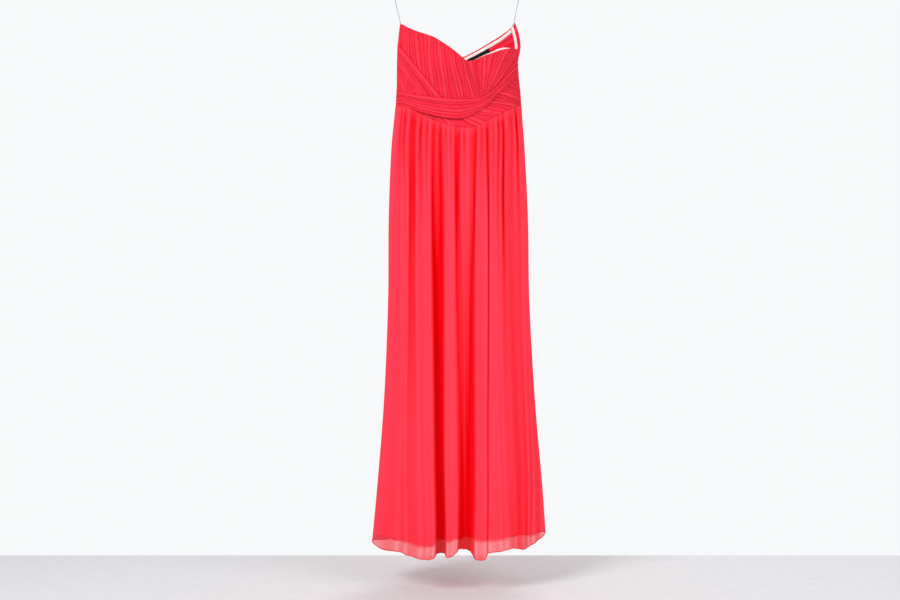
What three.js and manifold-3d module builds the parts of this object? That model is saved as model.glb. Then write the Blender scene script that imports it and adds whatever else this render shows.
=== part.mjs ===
import * as THREE from 'three';
import Module from 'manifold-3d';
import { mergeVertices } from 'three/addons/utils/BufferGeometryUtils.js';

// A strapless floor-length dress that hangs open from two ribbon loops.
// Millimetres. X runs across the dress to its left side, which is on the right of its front view.
// Y runs from the front of the dress to its back, Z runs up, and the origin is
// midway between the tops of the two loops.
// Angles run round the body: -90 at its right side, 0 at the front, 90 at its left side, 180 at the back.

const red = 0xff3e52;
const wallThickness = 1.2;
const pleatHeight = 1.3;
const layerLift = wallThickness + pleatHeight + 0.75;
const chiffonWall = 1.2;
const liningWall = 1.0;
const liningInset = 4.2;
const seamGap = 0.4;
const tapeWidth = 8.5;
const tapeThickness = 0.8;
const tapeBelowEdge = 9;
const labelHeight = 20;
const labelBelowEdge = 26.5;
const ribbonWidth = 3;
const ribbonThickness = 1;
const loopSpread = 13;
const sliderWidth = 5;
const sliderHeight = 9;
const sliderDepth = 2.6;
const tabLength = 18;

function table(columns, rows) {
  return rows.map((row) => Object.fromEntries(columns.map((name, i) => [name, row[i]])));
}

// The hollow shape inside the cloth, level by level: its two sides, how far it reaches to
// the front and the back of the side seams, and how pointed each half is towards the seams.
const levels = table(
  ['z', 'left', 'right', 'front', 'back', 'seam', 'frontPoint', 'backPoint'],
  [
    [-90, -147, 151, 60, 83, 0, 1.5, 2.2],
    [-155, -154, 165, 78, 78, 0, 1.5, 2.2],
    [-205, -156, 158, 86, 70, 0, 1.4, 1.9],
    [-282, -157, 165, 64, 54, 0, 1.3, 1.5],
    [-330, -161, 168, 53, 49, 0, 1.2, 1.3],
    [-425, -170, 175, 54, 50, 0, 1.2, 1.2],
    [-604, -177, 184, 66, 58, 3, 1.2, 1.2],
    [-818, -179, 188, 84, 66, 8, 1.2, 1.2],
    [-1078, -190, 203, 104, 76, 16, 1.2, 1.2],
    [-1314, -209, 224, 122, 86, 25, 1.2, 1.2],
    [-1470, -224, 235, 130, 92, 30, 1.2, 1.2],
  ],
);

// Smooth value of one column of a table at a key between its rows.
function blend(rows, keyName, columnName, key) {
  const direction = Math.sign(rows[1][keyName] - rows[0][keyName]);
  const last = rows.length - 1;
  if ((key - rows[0][keyName]) * direction <= 0) return rows[0][columnName];
  if ((key - rows[last][keyName]) * direction >= 0) return rows[last][columnName];
  let i = 0;
  while ((key - rows[i + 1][keyName]) * direction > 0) i += 1;
  const slope = (k) => {
    const a = rows[Math.max(k - 1, 0)];
    const b = rows[Math.min(k + 1, last)];
    return (b[columnName] - a[columnName]) / (b[keyName] - a[keyName]);
  };
  const width = rows[i + 1][keyName] - rows[i][keyName];
  const t = (key - rows[i][keyName]) / width;
  const value0 = rows[i][columnName];
  const value1 = rows[i + 1][columnName];
  return (2 * t ** 3 - 3 * t ** 2 + 1) * value0
    + (t ** 3 - 2 * t ** 2 + t) * slope(i) * width
    + (-2 * t ** 3 + 3 * t ** 2) * value1
    + (t ** 3 - t ** 2) * slope(i + 1) * width;
}

function smooth(t) {
  const c = Math.min(Math.max(t, 0), 1);
  return c * c * (3 - 2 * c);
}

function bodyPoint(angle, z, inset = 0) {
  const level = (name) => blend(levels, 'z', name, z);
  const left = level('left');
  const right = level('right');
  const turn = THREE.MathUtils.degToRad(angle);
  const c = Math.cos(turn);
  const x = (left + right) / 2 + ((right - left) / 2) * Math.sin(turn);
  const y = c >= 0
    ? level('seam') - level('front') * c ** level('frontPoint') + inset
    : level('seam') + level('back') * (-c) ** level('backPoint') - inset;
  return new THREE.Vector3(x, y, z);
}

// A point of the body shape moved straight out of it by a lift.
function liftedPoint(angle, z, lift) {
  const round = bodyPoint(angle + 2, z).sub(bodyPoint(angle - 2, z));
  const up = bodyPoint(angle, z + 2).sub(bodyPoint(angle, z - 2));
  const out = round.cross(up).normalize();
  return bodyPoint(angle, z).addScaledVector(out, lift);
}

// A closed wall between two grids of points. The outer grid has a point for each pair of
// across and along, the inner one only for every stride-th across, over a plain inside.
function makeWall(outerPoint, innerPoint, across, along, stride) {
  const positions = [];
  const add = (p) => positions.push(p.x, p.y, p.z) / 3 - 1;
  const outer = [];
  const inner = [];
  for (let i = 0; i <= across; i += 1) {
    outer.push([]);
    for (let j = 0; j <= along; j += 1) outer[i].push(add(outerPoint(i, j)));
  }
  for (let a = 0; a <= across / stride; a += 1) {
    inner.push([]);
    for (let j = 0; j <= along; j += 1) inner[a].push(add(innerPoint(a * stride, j)));
  }
  const faces = [];
  const quad = (a, b, c, d) => faces.push([a, b, c], [a, c, d]);
  for (let j = 0; j < along; j += 1) {
    for (let i = 0; i < across; i += 1) quad(outer[i][j], outer[i + 1][j], outer[i + 1][j + 1], outer[i][j + 1]);
    for (let a = 0; a < across / stride; a += 1) {
      quad(inner[a][j], inner[a][j + 1], inner[a + 1][j + 1], inner[a + 1][j]);
    }
    const end = across / stride;
    quad(outer[0][j], outer[0][j + 1], inner[0][j + 1], inner[0][j]);
    quad(outer[across][j + 1], outer[across][j], inner[end][j], inner[end][j + 1]);
  }
  const half = Math.floor(stride / 2);
  for (const [j, flip] of [[0, false], [along, true]]) {
    const rim = [];
    for (let a = 0; a < across / stride; a += 1) {
      const start = a * stride;
      for (let m = 0; m < stride; m += 1) {
        rim.push([outer[start + m + 1][j], outer[start + m][j], inner[m < half ? a : a + 1][j]]);
      }
      rim.push([outer[start + half][j], inner[a][j], inner[a + 1][j]]);
    }
    rim.forEach((face) => faces.push(flip ? face.reverse() : face));
  }
  const geometry = new THREE.BufferGeometry();
  geometry.setAttribute('position', new THREE.Float32BufferAttribute(positions, 3));
  geometry.setIndex(faces.flat());
  return outward(geometry);
}

// Turns a closed mesh so that its faces point out.
function outward(geometry) {
  const position = geometry.getAttribute('position');
  const index = geometry.getIndex().array;
  const corner = (k) => new THREE.Vector3().fromBufferAttribute(position, index[k]);
  let volume = 0;
  for (let k = 0; k < index.length; k += 3) volume += corner(k).dot(corner(k + 1).cross(corner(k + 2)));
  if (volume < 0) {
    for (let k = 0; k < index.length; k += 3) [index[k], index[k + 1]] = [index[k + 1], index[k]];
  }
  geometry.computeVertexNormals();
  return geometry;
}

function clothMaterial(colour = red) {
  return new THREE.MeshStandardMaterial({ color: colour, roughness: 0.75, metalness: 0, side: THREE.DoubleSide });
}

const dress = new THREE.Group();

function addPiece(name, geometry, material) {
  const mesh = new THREE.Mesh(geometry, material);
  mesh.name = name;
  dress.add(mesh);
}

// Pleats of the bodice. Each pleat climbs slowly to its fold and drops to the next one.
const pleatProfile = table(['place', 'height'], [[0, 0], [0.4, 0.8], [0.8, 1]]);

function pleatPlaces(count) {
  const uneven = (i) => (i === 0 || i === count ? i : i + 0.17 * Math.sin(2.4 * i));
  const places = [];
  for (let i = 0; i < count; i += 1) {
    const height = 0.78 + 0.22 * Math.cos(1.9 * i);
    for (const step of pleatProfile) {
      const place = (uneven(i) + (uneven(i + 1) - uneven(i)) * step.place) / count;
      places.push({ place, height: step.height * height });
    }
  }
  places.push({ place: 1, height: 0.3 });
  return places;
}

const guideColumns = ['fromAngle', 'fromZ', 'toAngle', 'toZ', 'bow'];

// Point on a piece of the bodice: row is the place among its guide lines, 0 to 1, and run is
// the place along a guide line, 0 to 1.
function guidePoint(guides, row, run, straight) {
  const rows = guides.map((guide, i) => ({ ...guide, row: i / (guides.length - 1) }));
  const at = (name) => blend(rows, 'row', name, row);
  const z = at('fromZ') + (at('toZ') - at('fromZ')) * run + at('bow') * 4 * run * (1 - run);
  if (!straight) return { angle: at('fromAngle') + (at('toAngle') - at('fromAngle')) * run, z };
  const fromSine = Math.sin(THREE.MathUtils.degToRad(at('fromAngle')));
  const toSine = Math.sin(THREE.MathUtils.degToRad(at('toAngle')));
  return { angle: THREE.MathUtils.radToDeg(Math.asin(fromSine + (toSine - fromSine) * run)), z };
}

// A pleated piece. Its pleats follow the guide lines, or cross them where crossing is set.
// Guide lines that look straight from the front have more points near the side seam.
const sideCrowding = 1.6;
function addPleatedPiece(name, { guides, pleats, steps, crossing = false, straight = false, lift = () => 0 }) {
  const places = pleatPlaces(pleats);
  const spot = (i, j) => {
    const pleated = places[i].place;
    const plain = straight ? (j / steps) ** sideCrowding : j / steps;
    return crossing ? [plain, pleated] : [pleated, plain];
  };
  const point = (i, j, rise) => {
    const [row, run] = spot(i, j);
    const { angle, z } = guidePoint(guides, row, run, straight);
    return liftedPoint(angle, z, lift(row, run) + rise);
  };
  const outer = (i, j) => point(i, j, wallThickness + pleatHeight * places[i].height);
  const inner = (i, j) => point(i, j, 0);
  addPiece(name, makeWall(outer, inner, places.length - 1, steps, pleatProfile.length), clothMaterial());
}

// Right cup: pleats fall from the neckline to the drape and the wrap band.
const rightCupGuides = table(guideColumns, [
  [-88.0, -101, -86.5, -151, 0],
  [-71.3, -104, -63.0, -182, 0],
  [-56.7, -116, -50.0, -205, 0],
  [-45.4, -127, -39.0, -233, 0],
  [-33.0, -139, -27.0, -268, 0],
  [-24.0, -149, -17.5, -304, 0],
  [-15.5, -164, -7.5, -309, 0],
  [-6.5, -181, 2.0, -309, 0],
  [1.5, -198, 10.0, -309, 0],
  [7.9, -214, 18.1, -307, -3],
]);

// Left cup: pleats fan from the point where the cups meet the wrap band.
const leftCupGuides = table(guideColumns, [
  [8.3, -214, 18.5, -307, -3],
  [15.0, -211, 19.4, -306, -4],
  [24.0, -200, 20.4, -305, -5],
  [34.0, -189, 21.4, -304, -5],
  [44.5, -178, 22.5, -303, -4],
  [56.0, -171, 23.6, -302, 0],
  [69.0, -169, 24.8, -301, 4],
  [82.0, -163, 26.0, -299, 8],
  [93.5, -136, 27.4, -297, 8],
  [99.4, -98, 28.8, -295, 6],
  [96.2, -196, 30.2, -292, 6],
]);

// Drape that crosses the right cup from the side seam down to the wrap band.
const drapeGuides = table(guideColumns, [
  [-86.5, -152, -13.5, -307, 0],
  [-88.0, -181, -30.0, -302, 0],
  [-88.0, -212, -46.0, -296, 0],
  [-88.0, -245, -64.0, -288, 0],
  [-88.0, -274, -82.0, -281, 0],
]);

// Wrap band: guide lines run from its upper edge to its lower edge, and the pleats cross them.
const bandGuides = table(guideColumns, [
  [-88.0, -273, -88.0, -313, 0],
  [-61.0, -282, -60.0, -317, 0],
  [-46.8, -289, -48.0, -324, 0],
  [-31.6, -295, -31.0, -340, 0],
  [-16.9, -300, -15.0, -351, 0],
  [-3.3, -303, 0.0, -355, 0],
  [10.0, -303, 11.0, -346, 0],
  [19.3, -301, 20.0, -331, 0],
  [27.0, -292, 28.5, -315, 0],
  [34.5, -277, 38.0, -293, 0],
  [45.0, -255, 49.0, -271, 0],
  [58.8, -230, 61.0, -255, 0],
  [76.0, -209, 78.0, -241, 0],
  [97.0, -199, 95.6, -232, 0],
]);

// Under wrap: comes out below the band and runs to the left side seam and the waist.
const underWrapGuides = table(guideColumns, [
  [83.0, -230, 95.4, -237, 0],
  [62.0, -247, 94.8, -262, 0],
  [48.0, -266, 93.8, -287, 0],
  [37.0, -288, 92.2, -311, 2],
  [27.5, -309, 68.0, -317, 2],
  [19.0, -325, 46.0, -335, 0],
  [9.0, -341, 29.0, -354, 0],
  [-3.0, -349, 13.0, -375, 0],
  [-17.0, -345, -6.0, -372.6, 0],
  [-31.0, -334, -24.0, -354.4, 0],
  [-46.0, -320, -43.5, -331, 0],
]);

// Half of the back, from the centre opening to a side seam.
const leftBackGuides = table(guideColumns, [
  [179.85, -176, 179.85, -318, 0],
  [166.0, -157, 166.0, -318, 0],
  [150.0, -137, 150.0, -317, 0],
  [132.0, -120, 132.0, -316, 0],
  [118.0, -109, 116.0, -314, 0],
  [109.0, -100, 104.0, -313, 0],
  [103.8, -95, 95.2, -312, 0],
]);
const rightBackGuides = table(guideColumns, [
  [180.15, -176, 180.15, -318, 0],
  [194.0, -158, 194.0, -318, 0],
  [210.0, -139, 210.0, -318, 0],
  [228.0, -123, 228.0, -317, 0],
  [243.0, -113, 243.0, -316, 0],
  [256.0, -106, 256.0, -315, 0],
  [270.8, -101, 270.8, -314, 0],
]);

// The band lies on everything it crosses, and rises once more over the edge of the drape.
function bandLift(row) {
  return layerLift * (1 + smooth((row - 0.15) / 0.06) * (1 - smooth((row - 0.37) / 0.06)));
}

// The upper edge of the drape lies on the cup, and the rest of it on the body.
function drapeLift(row) {
  return layerLift * (1 - smooth((row - 0.1) / 0.12));
}

function addBodice() {
  addPleatedPiece('cup_right', { guides: rightCupGuides, pleats: 20, steps: 7 });
  addPleatedPiece('cup_left', { guides: leftCupGuides, pleats: 16, steps: 7 });
  addPleatedPiece('drape_right', { guides: drapeGuides, pleats: 10, steps: 8, straight: true, lift: drapeLift });
  addPleatedPiece('wrap_band', { guides: bandGuides, pleats: 6, steps: 30, crossing: true, lift: bandLift });
  addPleatedPiece('under_wrap', { guides: underWrapGuides, pleats: 13, steps: 6 });
  addPleatedPiece('back_left', { guides: leftBackGuides, pleats: 10, steps: 12, crossing: true });
  addPleatedPiece('back_right', { guides: rightBackGuides, pleats: 10, steps: 12, crossing: true });
}

// Waist seam where the skirt hangs from the bodice.
const waistLine = table(['angle', 'z'], [
  [-90, -315], [-60, -320], [-48, -327], [-39, -339], [-30, -350], [-19, -361], [-8, -372], [2, -380],
  [7, -381], [16, -373], [24, -362], [34, -351], [41, -342], [53, -329], [70, -317], [92, -313],
  [130, -317], [180, -320], [230, -319], [270, -315],
]);

// Folds of the skirt, one row for each valley from right to left. x is where it runs just
// under the waist, half way down and at the hem. The depths are just under the waist, a
// little lower, half way down and at the hem. lean places the ridge that follows it.
const foldColumns = [
  'waistX', 'midX', 'hemX', 'waistDepth', 'upperDepth', 'midDepth', 'hemDepth', 'lean',
];
const frontFolds = table(foldColumns, [
  [-139, -150, -172, 6, 4, 2, 8, 0.5],
  [-113, -115, -124, 9, 13, 15, 5, 0.45],
  [-92, -95, -104, 7, 6, 2, 2, 0.5],
  [-72, -77, -84, 7, 3, 1, 3, 0.5],
  [-56, -59, -62, 8, 10, 9, 12, 0.5],
  [-37, -40, -37, 10, 17, 32, 64, 0.16],
  [-13, -16, -15, 7, 3, 1, 5, 0.45],
  [0, 1, 7, 9, 15, 17, 42, 0.4],
  [17, 19, 23, 6, 3, 3, 38, 0.55],
  [30, 38, 36, 7, 10, 21, 44, 0.4],
  [46, 49, 53, 7, 9, 3, 4, 0.5],
  [63, 64, 67, 7, 3, 1, 2, 0.55],
  [81, 82, 80, 9, 13, 13, 32, 0.22],
  [96, 98, 101, 7, 3, 1, 6, 0.5],
  [116, 119, 124, 9, 13, 7, 5, 0.5],
  [134, 143, 152, 6, 4, 9, 13, 0.5],
  [148, 158, 171, 6, 8, 8, 12, 0.5],
  [155, 174, 192, 3, 3, 5, 17, 0.4],
  [161, 182, 211, 1.5, 1.5, 3, 7, 0.5],
]);
const backFolds = table(foldColumns, [
  [150, 160, 186, 5, 5, 6, 12, 0.5],
  [132, 138, 152, 7, 9, 12, 20, 0.4],
  [112, 116, 124, 7, 4, 2, 6, 0.5],
  [93, 95, 98, 8, 12, 16, 30, 0.55],
  [74, 75, 76, 7, 4, 3, 5, 0.5],
  [56, 55, 52, 9, 12, 10, 24, 0.35],
  [36, 37, 34, 7, 5, 4, 8, 0.5],
  [18, 17, 12, 7, 10, 18, 34, 0.6],
  [-18, -18, -17, 7, 9, 14, 28, 0.4],
  [-37, -38, -42, 7, 4, 3, 6, 0.5],
  [-56, -57, -62, 9, 12, 15, 32, 0.5],
  [-76, -78, -84, 7, 4, 2, 4, 0.5],
  [-95, -98, -106, 8, 10, 12, 22, 0.6],
  [-115, -120, -132, 7, 5, 5, 12, 0.5],
  [-135, -142, -160, 6, 8, 9, 20, 0.5],
  [-150, -162, -188, 4, 4, 5, 10, 0.5],
]);

// Hem of the chiffon, by place across the front and the back.
const frontHem = table(['x', 'z'], [
  [-224, -1444], [-190, -1457], [-130, -1457], [-100, -1462], [-55, -1471], [-37, -1461], [-12, -1464],
  [12, -1458], [42, -1466], [76, -1469], [100, -1459], [150, -1452], [190, -1446], [215, -1436], [235, -1420],
]);
const backHem = table(['x', 'z'], [
  [-224, -1444], [-150, -1458], [0, -1464], [120, -1452], [200, -1434], [235, -1420],
]);

const halfwayDown = 0.43;
const depthPlaces = [0, 0.035, 0.14, halfwayDown, 1];
const seamShare = 0.3;
const crestShare = 0.3;

function foldState(fold, down, number) {
  const xRows = [0, halfwayDown, 1].map((v, k) => ({ v, x: [fold.waistX, fold.midX, fold.hemX][k] }));
  const depths = [
    fold.waistDepth * seamShare, fold.waistDepth, fold.upperDepth, fold.midDepth, fold.hemDepth,
  ];
  const depthRows = depthPlaces.map((v, k) => ({ v, depth: depths[k] }));
  const wander = 2.2 * Math.sin(5 * down + 1.7 * number) * smooth(down / 0.2);
  return { x: blend(xRows, 'v', 'x', down) + wander, depth: blend(depthRows, 'v', 'depth', down) };
}

function angleAcross(x, z, behind) {
  const left = blend(levels, 'z', 'left', z);
  const right = blend(levels, 'z', 'right', z);
  const sine = Math.min(Math.max((2 * x - left - right) / (right - left), -0.999), 0.999);
  const angle = THREE.MathUtils.radToDeg(Math.asin(sine));
  return behind ? 180 - angle : angle;
}

// Ridges and valleys of a skirt panel at one place down its length, in order.
function creases(panel, down, z) {
  const valleys = panel.folds.map((fold, i) => foldState(fold, down, i));
  const list = [{ angle: panel.startAngle, depth: 0 }];
  valleys.forEach((valley, i) => {
    list.push({ angle: angleAcross(valley.x, z, panel.behind), depth: valley.depth });
    const next = valleys[i + 1];
    if (!next) return;
    const x = valley.x + (next.x - valley.x) * panel.folds[i].lean;
    const depth = crestShare * Math.min(valley.depth, next.depth);
    list.push({ angle: angleAcross(x, z, panel.behind), depth });
  });
  list.push({ angle: panel.endAngle, depth: 0 });
  const ridgeIn = (a, b) => ({ angle: (a.angle + b.angle) / 2, depth: 0 });
  list.splice(1, 0, ridgeIn(list[0], list[1]));
  list.splice(list.length - 1, 0, ridgeIn(list[list.length - 2], list[list.length - 1]));
  return list;
}

// Point of a skirt panel: place counts its creases from 0, down runs from the waist to the hem.
function skirtPoint(panel, place, down) {
  const i = Math.min(Math.max(Math.floor(place), 0), panel.creaseCount - 2);
  const t = place - i;
  const across = (list, name, ease) => list[i][name] + (list[i + 1][name] - list[i][name]) * ease;
  const top = creases(panel, 0, -330);
  const bottom = creases(panel, 1, -1460);
  const topZ = blend(waistLine, 'angle', 'z', across(top, 'angle', t)) - seamGap;
  const hemX = bodyPoint(across(bottom, 'angle', t), -1460).x;
  const z = topZ + (blend(panel.hem, 'x', 'z', hemX) - topZ) * down;
  const here = creases(panel, down, z);
  return bodyPoint(across(here, 'angle', t), z, across(here, 'depth', (1 - Math.cos(Math.PI * t)) / 2));
}

// Direction out of the cloth at a point of a skirt panel. At a side seam it points sideways.
const seamBlend = 0.6;
function skirtOut(panel, place, down) {
  const p = 0.12;
  const d = 0.006;
  const round = skirtPoint(panel, place + p, down).sub(skirtPoint(panel, place - p, down));
  const up = skirtPoint(panel, place, Math.max(down - d, 0)).sub(skirtPoint(panel, place, down + d));
  const out = round.cross(up).normalize();
  out.y *= smooth(Math.min(place, panel.creaseCount - 1 - place) / seamBlend);
  return out.normalize();
}

function makePanel(folds, hem, behind, startAngle, endAngle) {
  const panel = { folds, hem, behind, startAngle, endAngle };
  panel.creaseCount = creases(panel, 0, -330).length;
  return panel;
}
const frontPanel = makePanel(frontFolds, frontHem, false, -89.3, 89.3);
const backPanel = makePanel(backFolds, backHem, true, 90.7, 269.3);

const chiffonRows = [0, 0.02, 0.05, 0.1, 0.17, 0.27, 0.38, 0.5, 0.62, 0.75, 0.88, 1];
const liningRows = [0, 0.025, 0.07, 0.14, 0.27, 0.45, 0.65, 0.83, 0.97];

// A layer of the skirt: places and rows are the grid, outer and inner lifts are its two faces.
function skirtLayer(panel, places, rows, outerLift, innerLift) {
  const point = (lift) => (i, j) => skirtPoint(panel, places[i], rows[j])
    .addScaledVector(skirtOut(panel, places[i], rows[j]), lift);
  return makeWall(point(outerLift), point(innerLift), places.length - 1, rows.length - 1, 1);
}

function addSkirt() {
  for (const [name, panel] of [['front', frontPanel], ['back', backPanel]]) {
    const last = panel.creaseCount - 1;
    const hemAngles = creases(panel, 1, -1460).map((crease) => crease.angle);
    const places = [];
    for (let i = 0; i < last; i += 1) {
      const wide = Math.abs(hemAngles[i + 1] - hemAngles[i]) > 3.6;
      places.push(i);
      if (wide) places.push(i + 0.5);
    }
    places.push(last);
    const liningPlaces = Array.from({ length: last + 1 }, (_, i) => i);
    addPiece(`skirt_${name}`, skirtLayer(panel, places, chiffonRows, chiffonWall, 0), clothMaterial());
    addPiece(
      `lining_${name}`,
      skirtLayer(panel, liningPlaces, liningRows, -liningInset, -liningInset - liningWall),
      clothMaterial(),
    );
  }
}

// Length round the body from one angle to the next, taken at the height of the tapes.
const tapeLevel = -140;
function arcAlong(angle) {
  const step = 1;
  let length = 0;
  for (let a = -90; a < angle; a += step) {
    const next = Math.min(a + step, angle);
    length += bodyPoint(next, tapeLevel).distanceTo(bodyPoint(a, tapeLevel));
  }
  return length;
}

// A strip inside the top edge. Its rows give the middle of the strip, and it keeps its width
// square to that line.
function addStrip(name, rows, width, steps, colour, stripLift) {
  const middle = rows.map((row, i) => ({ ...row, i, arc: arcAlong(row.angle) }));
  const arcToAngle = [];
  for (let angle = -90; angle <= 270; angle += 2) arcToAngle.push({ angle, arc: arcAlong(angle) });
  const spot = (k) => {
    const key = (k / steps) * (rows.length - 1);
    return new THREE.Vector2(blend(middle, 'i', 'arc', key), blend(middle, 'i', 'z', key));
  };
  const point = (i, j, lift) => {
    const along = spot(Math.min(j + 0.5, steps)).sub(spot(Math.max(j - 0.5, 0))).normalize();
    const side = new THREE.Vector2(-along.y, along.x).multiplyScalar((i - 0.5) * width);
    const place = spot(j).add(side);
    return liftedPoint(blend(arcToAngle, 'arc', 'angle', place.x), place.y, lift);
  };
  const outer = (i, j) => point(i, j, stripLift);
  const inner = (i, j) => point(i, j, stripLift - tapeThickness);
  addPiece(name, makeWall(outer, inner, 1, steps, 1), clothMaterial(colour));
}

function belowEdge(guides, drop) {
  return guides.map((guide) => ({ angle: guide.fromAngle, z: guide.fromZ - drop }));
}

const white = 0xf6e9e8;
const black = 0x151315;
const againstInside = -0.8;
const againstBust = -1.4;

const sideTapeLine = table(['angle', 'z'], [[111.5, -104], [111, -135], [110, -176]]);
const frontLeftTapeLine = table(['angle', 'z'], [
  [10, -218], [13, -214], [18, -206], [27, -193.5], [35, -184], [42, -177], [50, -174], [60, -175], [70, -178],
]);

function addTapesAndLabel() {
  const tapeEndAngle = 1.4;
  const leftBackTape = [...belowEdge(leftBackGuides.slice(0, 4), tapeBelowEdge), { angle: 119, z: -119 }];
  const rightBackTape = belowEdge(rightBackGuides.slice(0, 6), tapeBelowEdge);
  leftBackTape[0].angle -= tapeEndAngle;
  rightBackTape[0].angle += tapeEndAngle;
  addStrip('tape_back_left', leftBackTape, tapeWidth, 10, white, againstInside);
  addStrip('tape_back_right', rightBackTape, tapeWidth, 12, white, againstInside);
  addStrip('tape_side_left', sideTapeLine, tapeWidth, 3, white, againstInside);
  addStrip('tape_front_left', frontLeftTapeLine, tapeWidth, 10, white, againstBust);
  addStrip('tape_front_right', belowEdge(rightCupGuides.slice(1), tapeBelowEdge), tapeWidth, 12, white, againstBust);
  const labelLine = table(['angle', 'z'], [
    [170.5, -163 - labelBelowEdge], [160, -149 - labelBelowEdge], [149, -136 - labelBelowEdge],
  ]);
  addStrip('label', labelLine, labelHeight, 4, black, againstInside);
}

// Hanging loops of narrow ribbon, one in each top corner. Both ends are sewn inside the corner.
function ribbonSection() {
  const corner = ribbonThickness * 0.3;
  const x = ribbonThickness / 2;
  const y = ribbonWidth / 2;
  return new THREE.Shape([
    [-x, -y + corner], [-x + corner, -y], [x - corner, -y], [x, -y + corner],
    [x, y - corner], [x - corner, y], [-x + corner, y], [-x, y - corner],
  ].map(([a, b]) => new THREE.Vector2(a, b)));
}

function addLoop(name, foot, topX) {
  const points = [];
  const count = 24;
  const apart = 0.75;
  for (let i = 0; i <= count; i += 1) {
    const t = i / count;
    const rise = Math.sin(Math.PI * t);
    points.push(new THREE.Vector3(
      foot.x + (topX - foot.x) * rise,
      foot.y * (1 - rise) - apart * (1 - 2 * t) - loopSpread * Math.sin(2 * Math.PI * t) * rise ** 0.5,
      foot.z + (-ribbonThickness / 2 - foot.z) * rise,
    ));
  }
  const extrudePath = new THREE.CatmullRomCurve3(points);
  const geometry = new THREE.ExtrudeGeometry(ribbonSection(), { steps: 30, bevelEnabled: false, extrudePath });
  addPiece(name, geometry, clothMaterial(0xb9bcc2));
}

function addLoops() {
  addLoop('loop_right', new THREE.Vector3(-144.5, -0.1, -108), -170);
  addLoop('loop_left', new THREE.Vector3(146.5, 1.6, -106), 167);
}

// Slider of the centre back zip, with a pull tab that swings in the bail on its face.
const sliderTop = -182;
const sliderBack = bodyPoint(180, sliderTop).y + wallThickness + pleatHeight + seamGap;
const sliderFace = sliderBack + sliderDepth;
const bail = { width: 1.6, height: 6, reach: 2.9, bar: 0.9, top: sliderTop - 1.2 };
const tabThickness = 0.9;
const tabBar = 1;
const tabEye = 3.1;
const pivot = {
  y: sliderFace + (bail.reach - bail.bar) / 2,
  z: bail.top - bail.height + bail.bar + 0.95,
};

const wasm = await Module();
wasm.setup();

function toSolid(geometry) {
  const bare = geometry.clone();
  bare.deleteAttribute('normal');
  bare.deleteAttribute('uv');
  const merged = mergeVertices(bare);
  const vertProperties = merged.getAttribute('position').array;
  const triVerts = new Uint32Array(merged.getIndex().array);
  return new wasm.Manifold(new wasm.Mesh({ numProp: 3, vertProperties, triVerts }));
}

function joined(a, b) {
  const { vertProperties, triVerts } = toSolid(a).add(toSolid(b)).getMesh();
  const geometry = new THREE.BufferGeometry();
  geometry.setAttribute('position', new THREE.BufferAttribute(vertProperties, 3));
  geometry.setIndex(new THREE.BufferAttribute(triVerts, 1));
  geometry.computeVertexNormals();
  return geometry;
}

// A plate drawn as seen from the front, x and z, with its thickness towards the front.
function standingPlate(shape, depth, y, z) {
  const geometry = new THREE.ExtrudeGeometry(shape, { depth, bevelEnabled: false, curveSegments: 5 });
  return geometry.rotateX(Math.PI / 2).translate(0, y + depth, z);
}

function sliderBody() {
  const w = sliderWidth / 2;
  const shoulder = -sliderHeight * 0.55;
  const body = new THREE.Shape();
  body.moveTo(-w, 0);
  body.lineTo(-w * 0.9, shoulder);
  body.quadraticCurveTo(-w * 0.7, -sliderHeight, 0, -sliderHeight);
  body.quadraticCurveTo(w * 0.7, -sliderHeight, w * 0.9, shoulder);
  body.lineTo(w, 0);
  body.quadraticCurveTo(0, 1.2, -w, 0);
  return standingPlate(body, sliderDepth, sliderBack, sliderTop);
}

function bailArch() {
  const { reach, bar, height, width, top } = bail;
  const root = -0.5;
  const arch = new THREE.Shape([
    [root, 0], [reach - 0.6, 0], [reach, -0.6], [reach, 0.6 - height], [reach - 0.6, -height],
    [root, -height], [root, bar - height], [reach - bar, bar - height], [reach - bar, -bar], [root, -bar],
  ].map(([y, z]) => new THREE.Vector2(y, z)));
  const geometry = new THREE.ExtrudeGeometry(arch, { depth: width, bevelEnabled: false });
  const x = new THREE.Vector3(1, 0, 0);
  const y = new THREE.Vector3(0, 1, 0);
  const z = new THREE.Vector3(0, 0, 1);
  return geometry.applyMatrix4(new THREE.Matrix4().makeBasis(y, z, x)).translate(-width / 2, sliderFace, top);
}

function pullTab() {
  const neck = 2.2;
  const belly = 3;
  const eye = 1.3;
  const outline = new THREE.Shape();
  outline.moveTo(-neck, tabBar / 2);
  outline.lineTo(-neck, -tabEye - tabBar);
  outline.quadraticCurveTo(-belly, -tabLength * 0.6, -belly, -tabLength + belly);
  outline.quadraticCurveTo(-belly, -tabLength, 0, -tabLength);
  outline.quadraticCurveTo(belly, -tabLength, belly, -tabLength + belly);
  outline.quadraticCurveTo(belly, -tabLength * 0.6, neck, -tabEye - tabBar);
  outline.lineTo(neck, tabBar / 2);
  const top = -tabBar / 2;
  const corners = [[-eye, top], [eye, top], [eye, top - tabEye], [-eye, top - tabEye]];
  outline.holes.push(new THREE.Path(corners.map(([x, z]) => new THREE.Vector2(x, z))));
  return standingPlate(outline, tabThickness, pivot.y - tabThickness / 2, pivot.z);
}

function addZip() {
  const metal = new THREE.MeshStandardMaterial({ color: 0xd8404c, roughness: 0.4, metalness: 0.5 });
  addPiece('zip_slider', joined(sliderBody(), bailArch()), metal);
  addPiece('zip_pull', pullTab(), metal.clone());
}

addBodice();
addSkirt();
addTapesAndLabel();
addLoops();
addZip();

export default dress;
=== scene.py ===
import math

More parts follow.
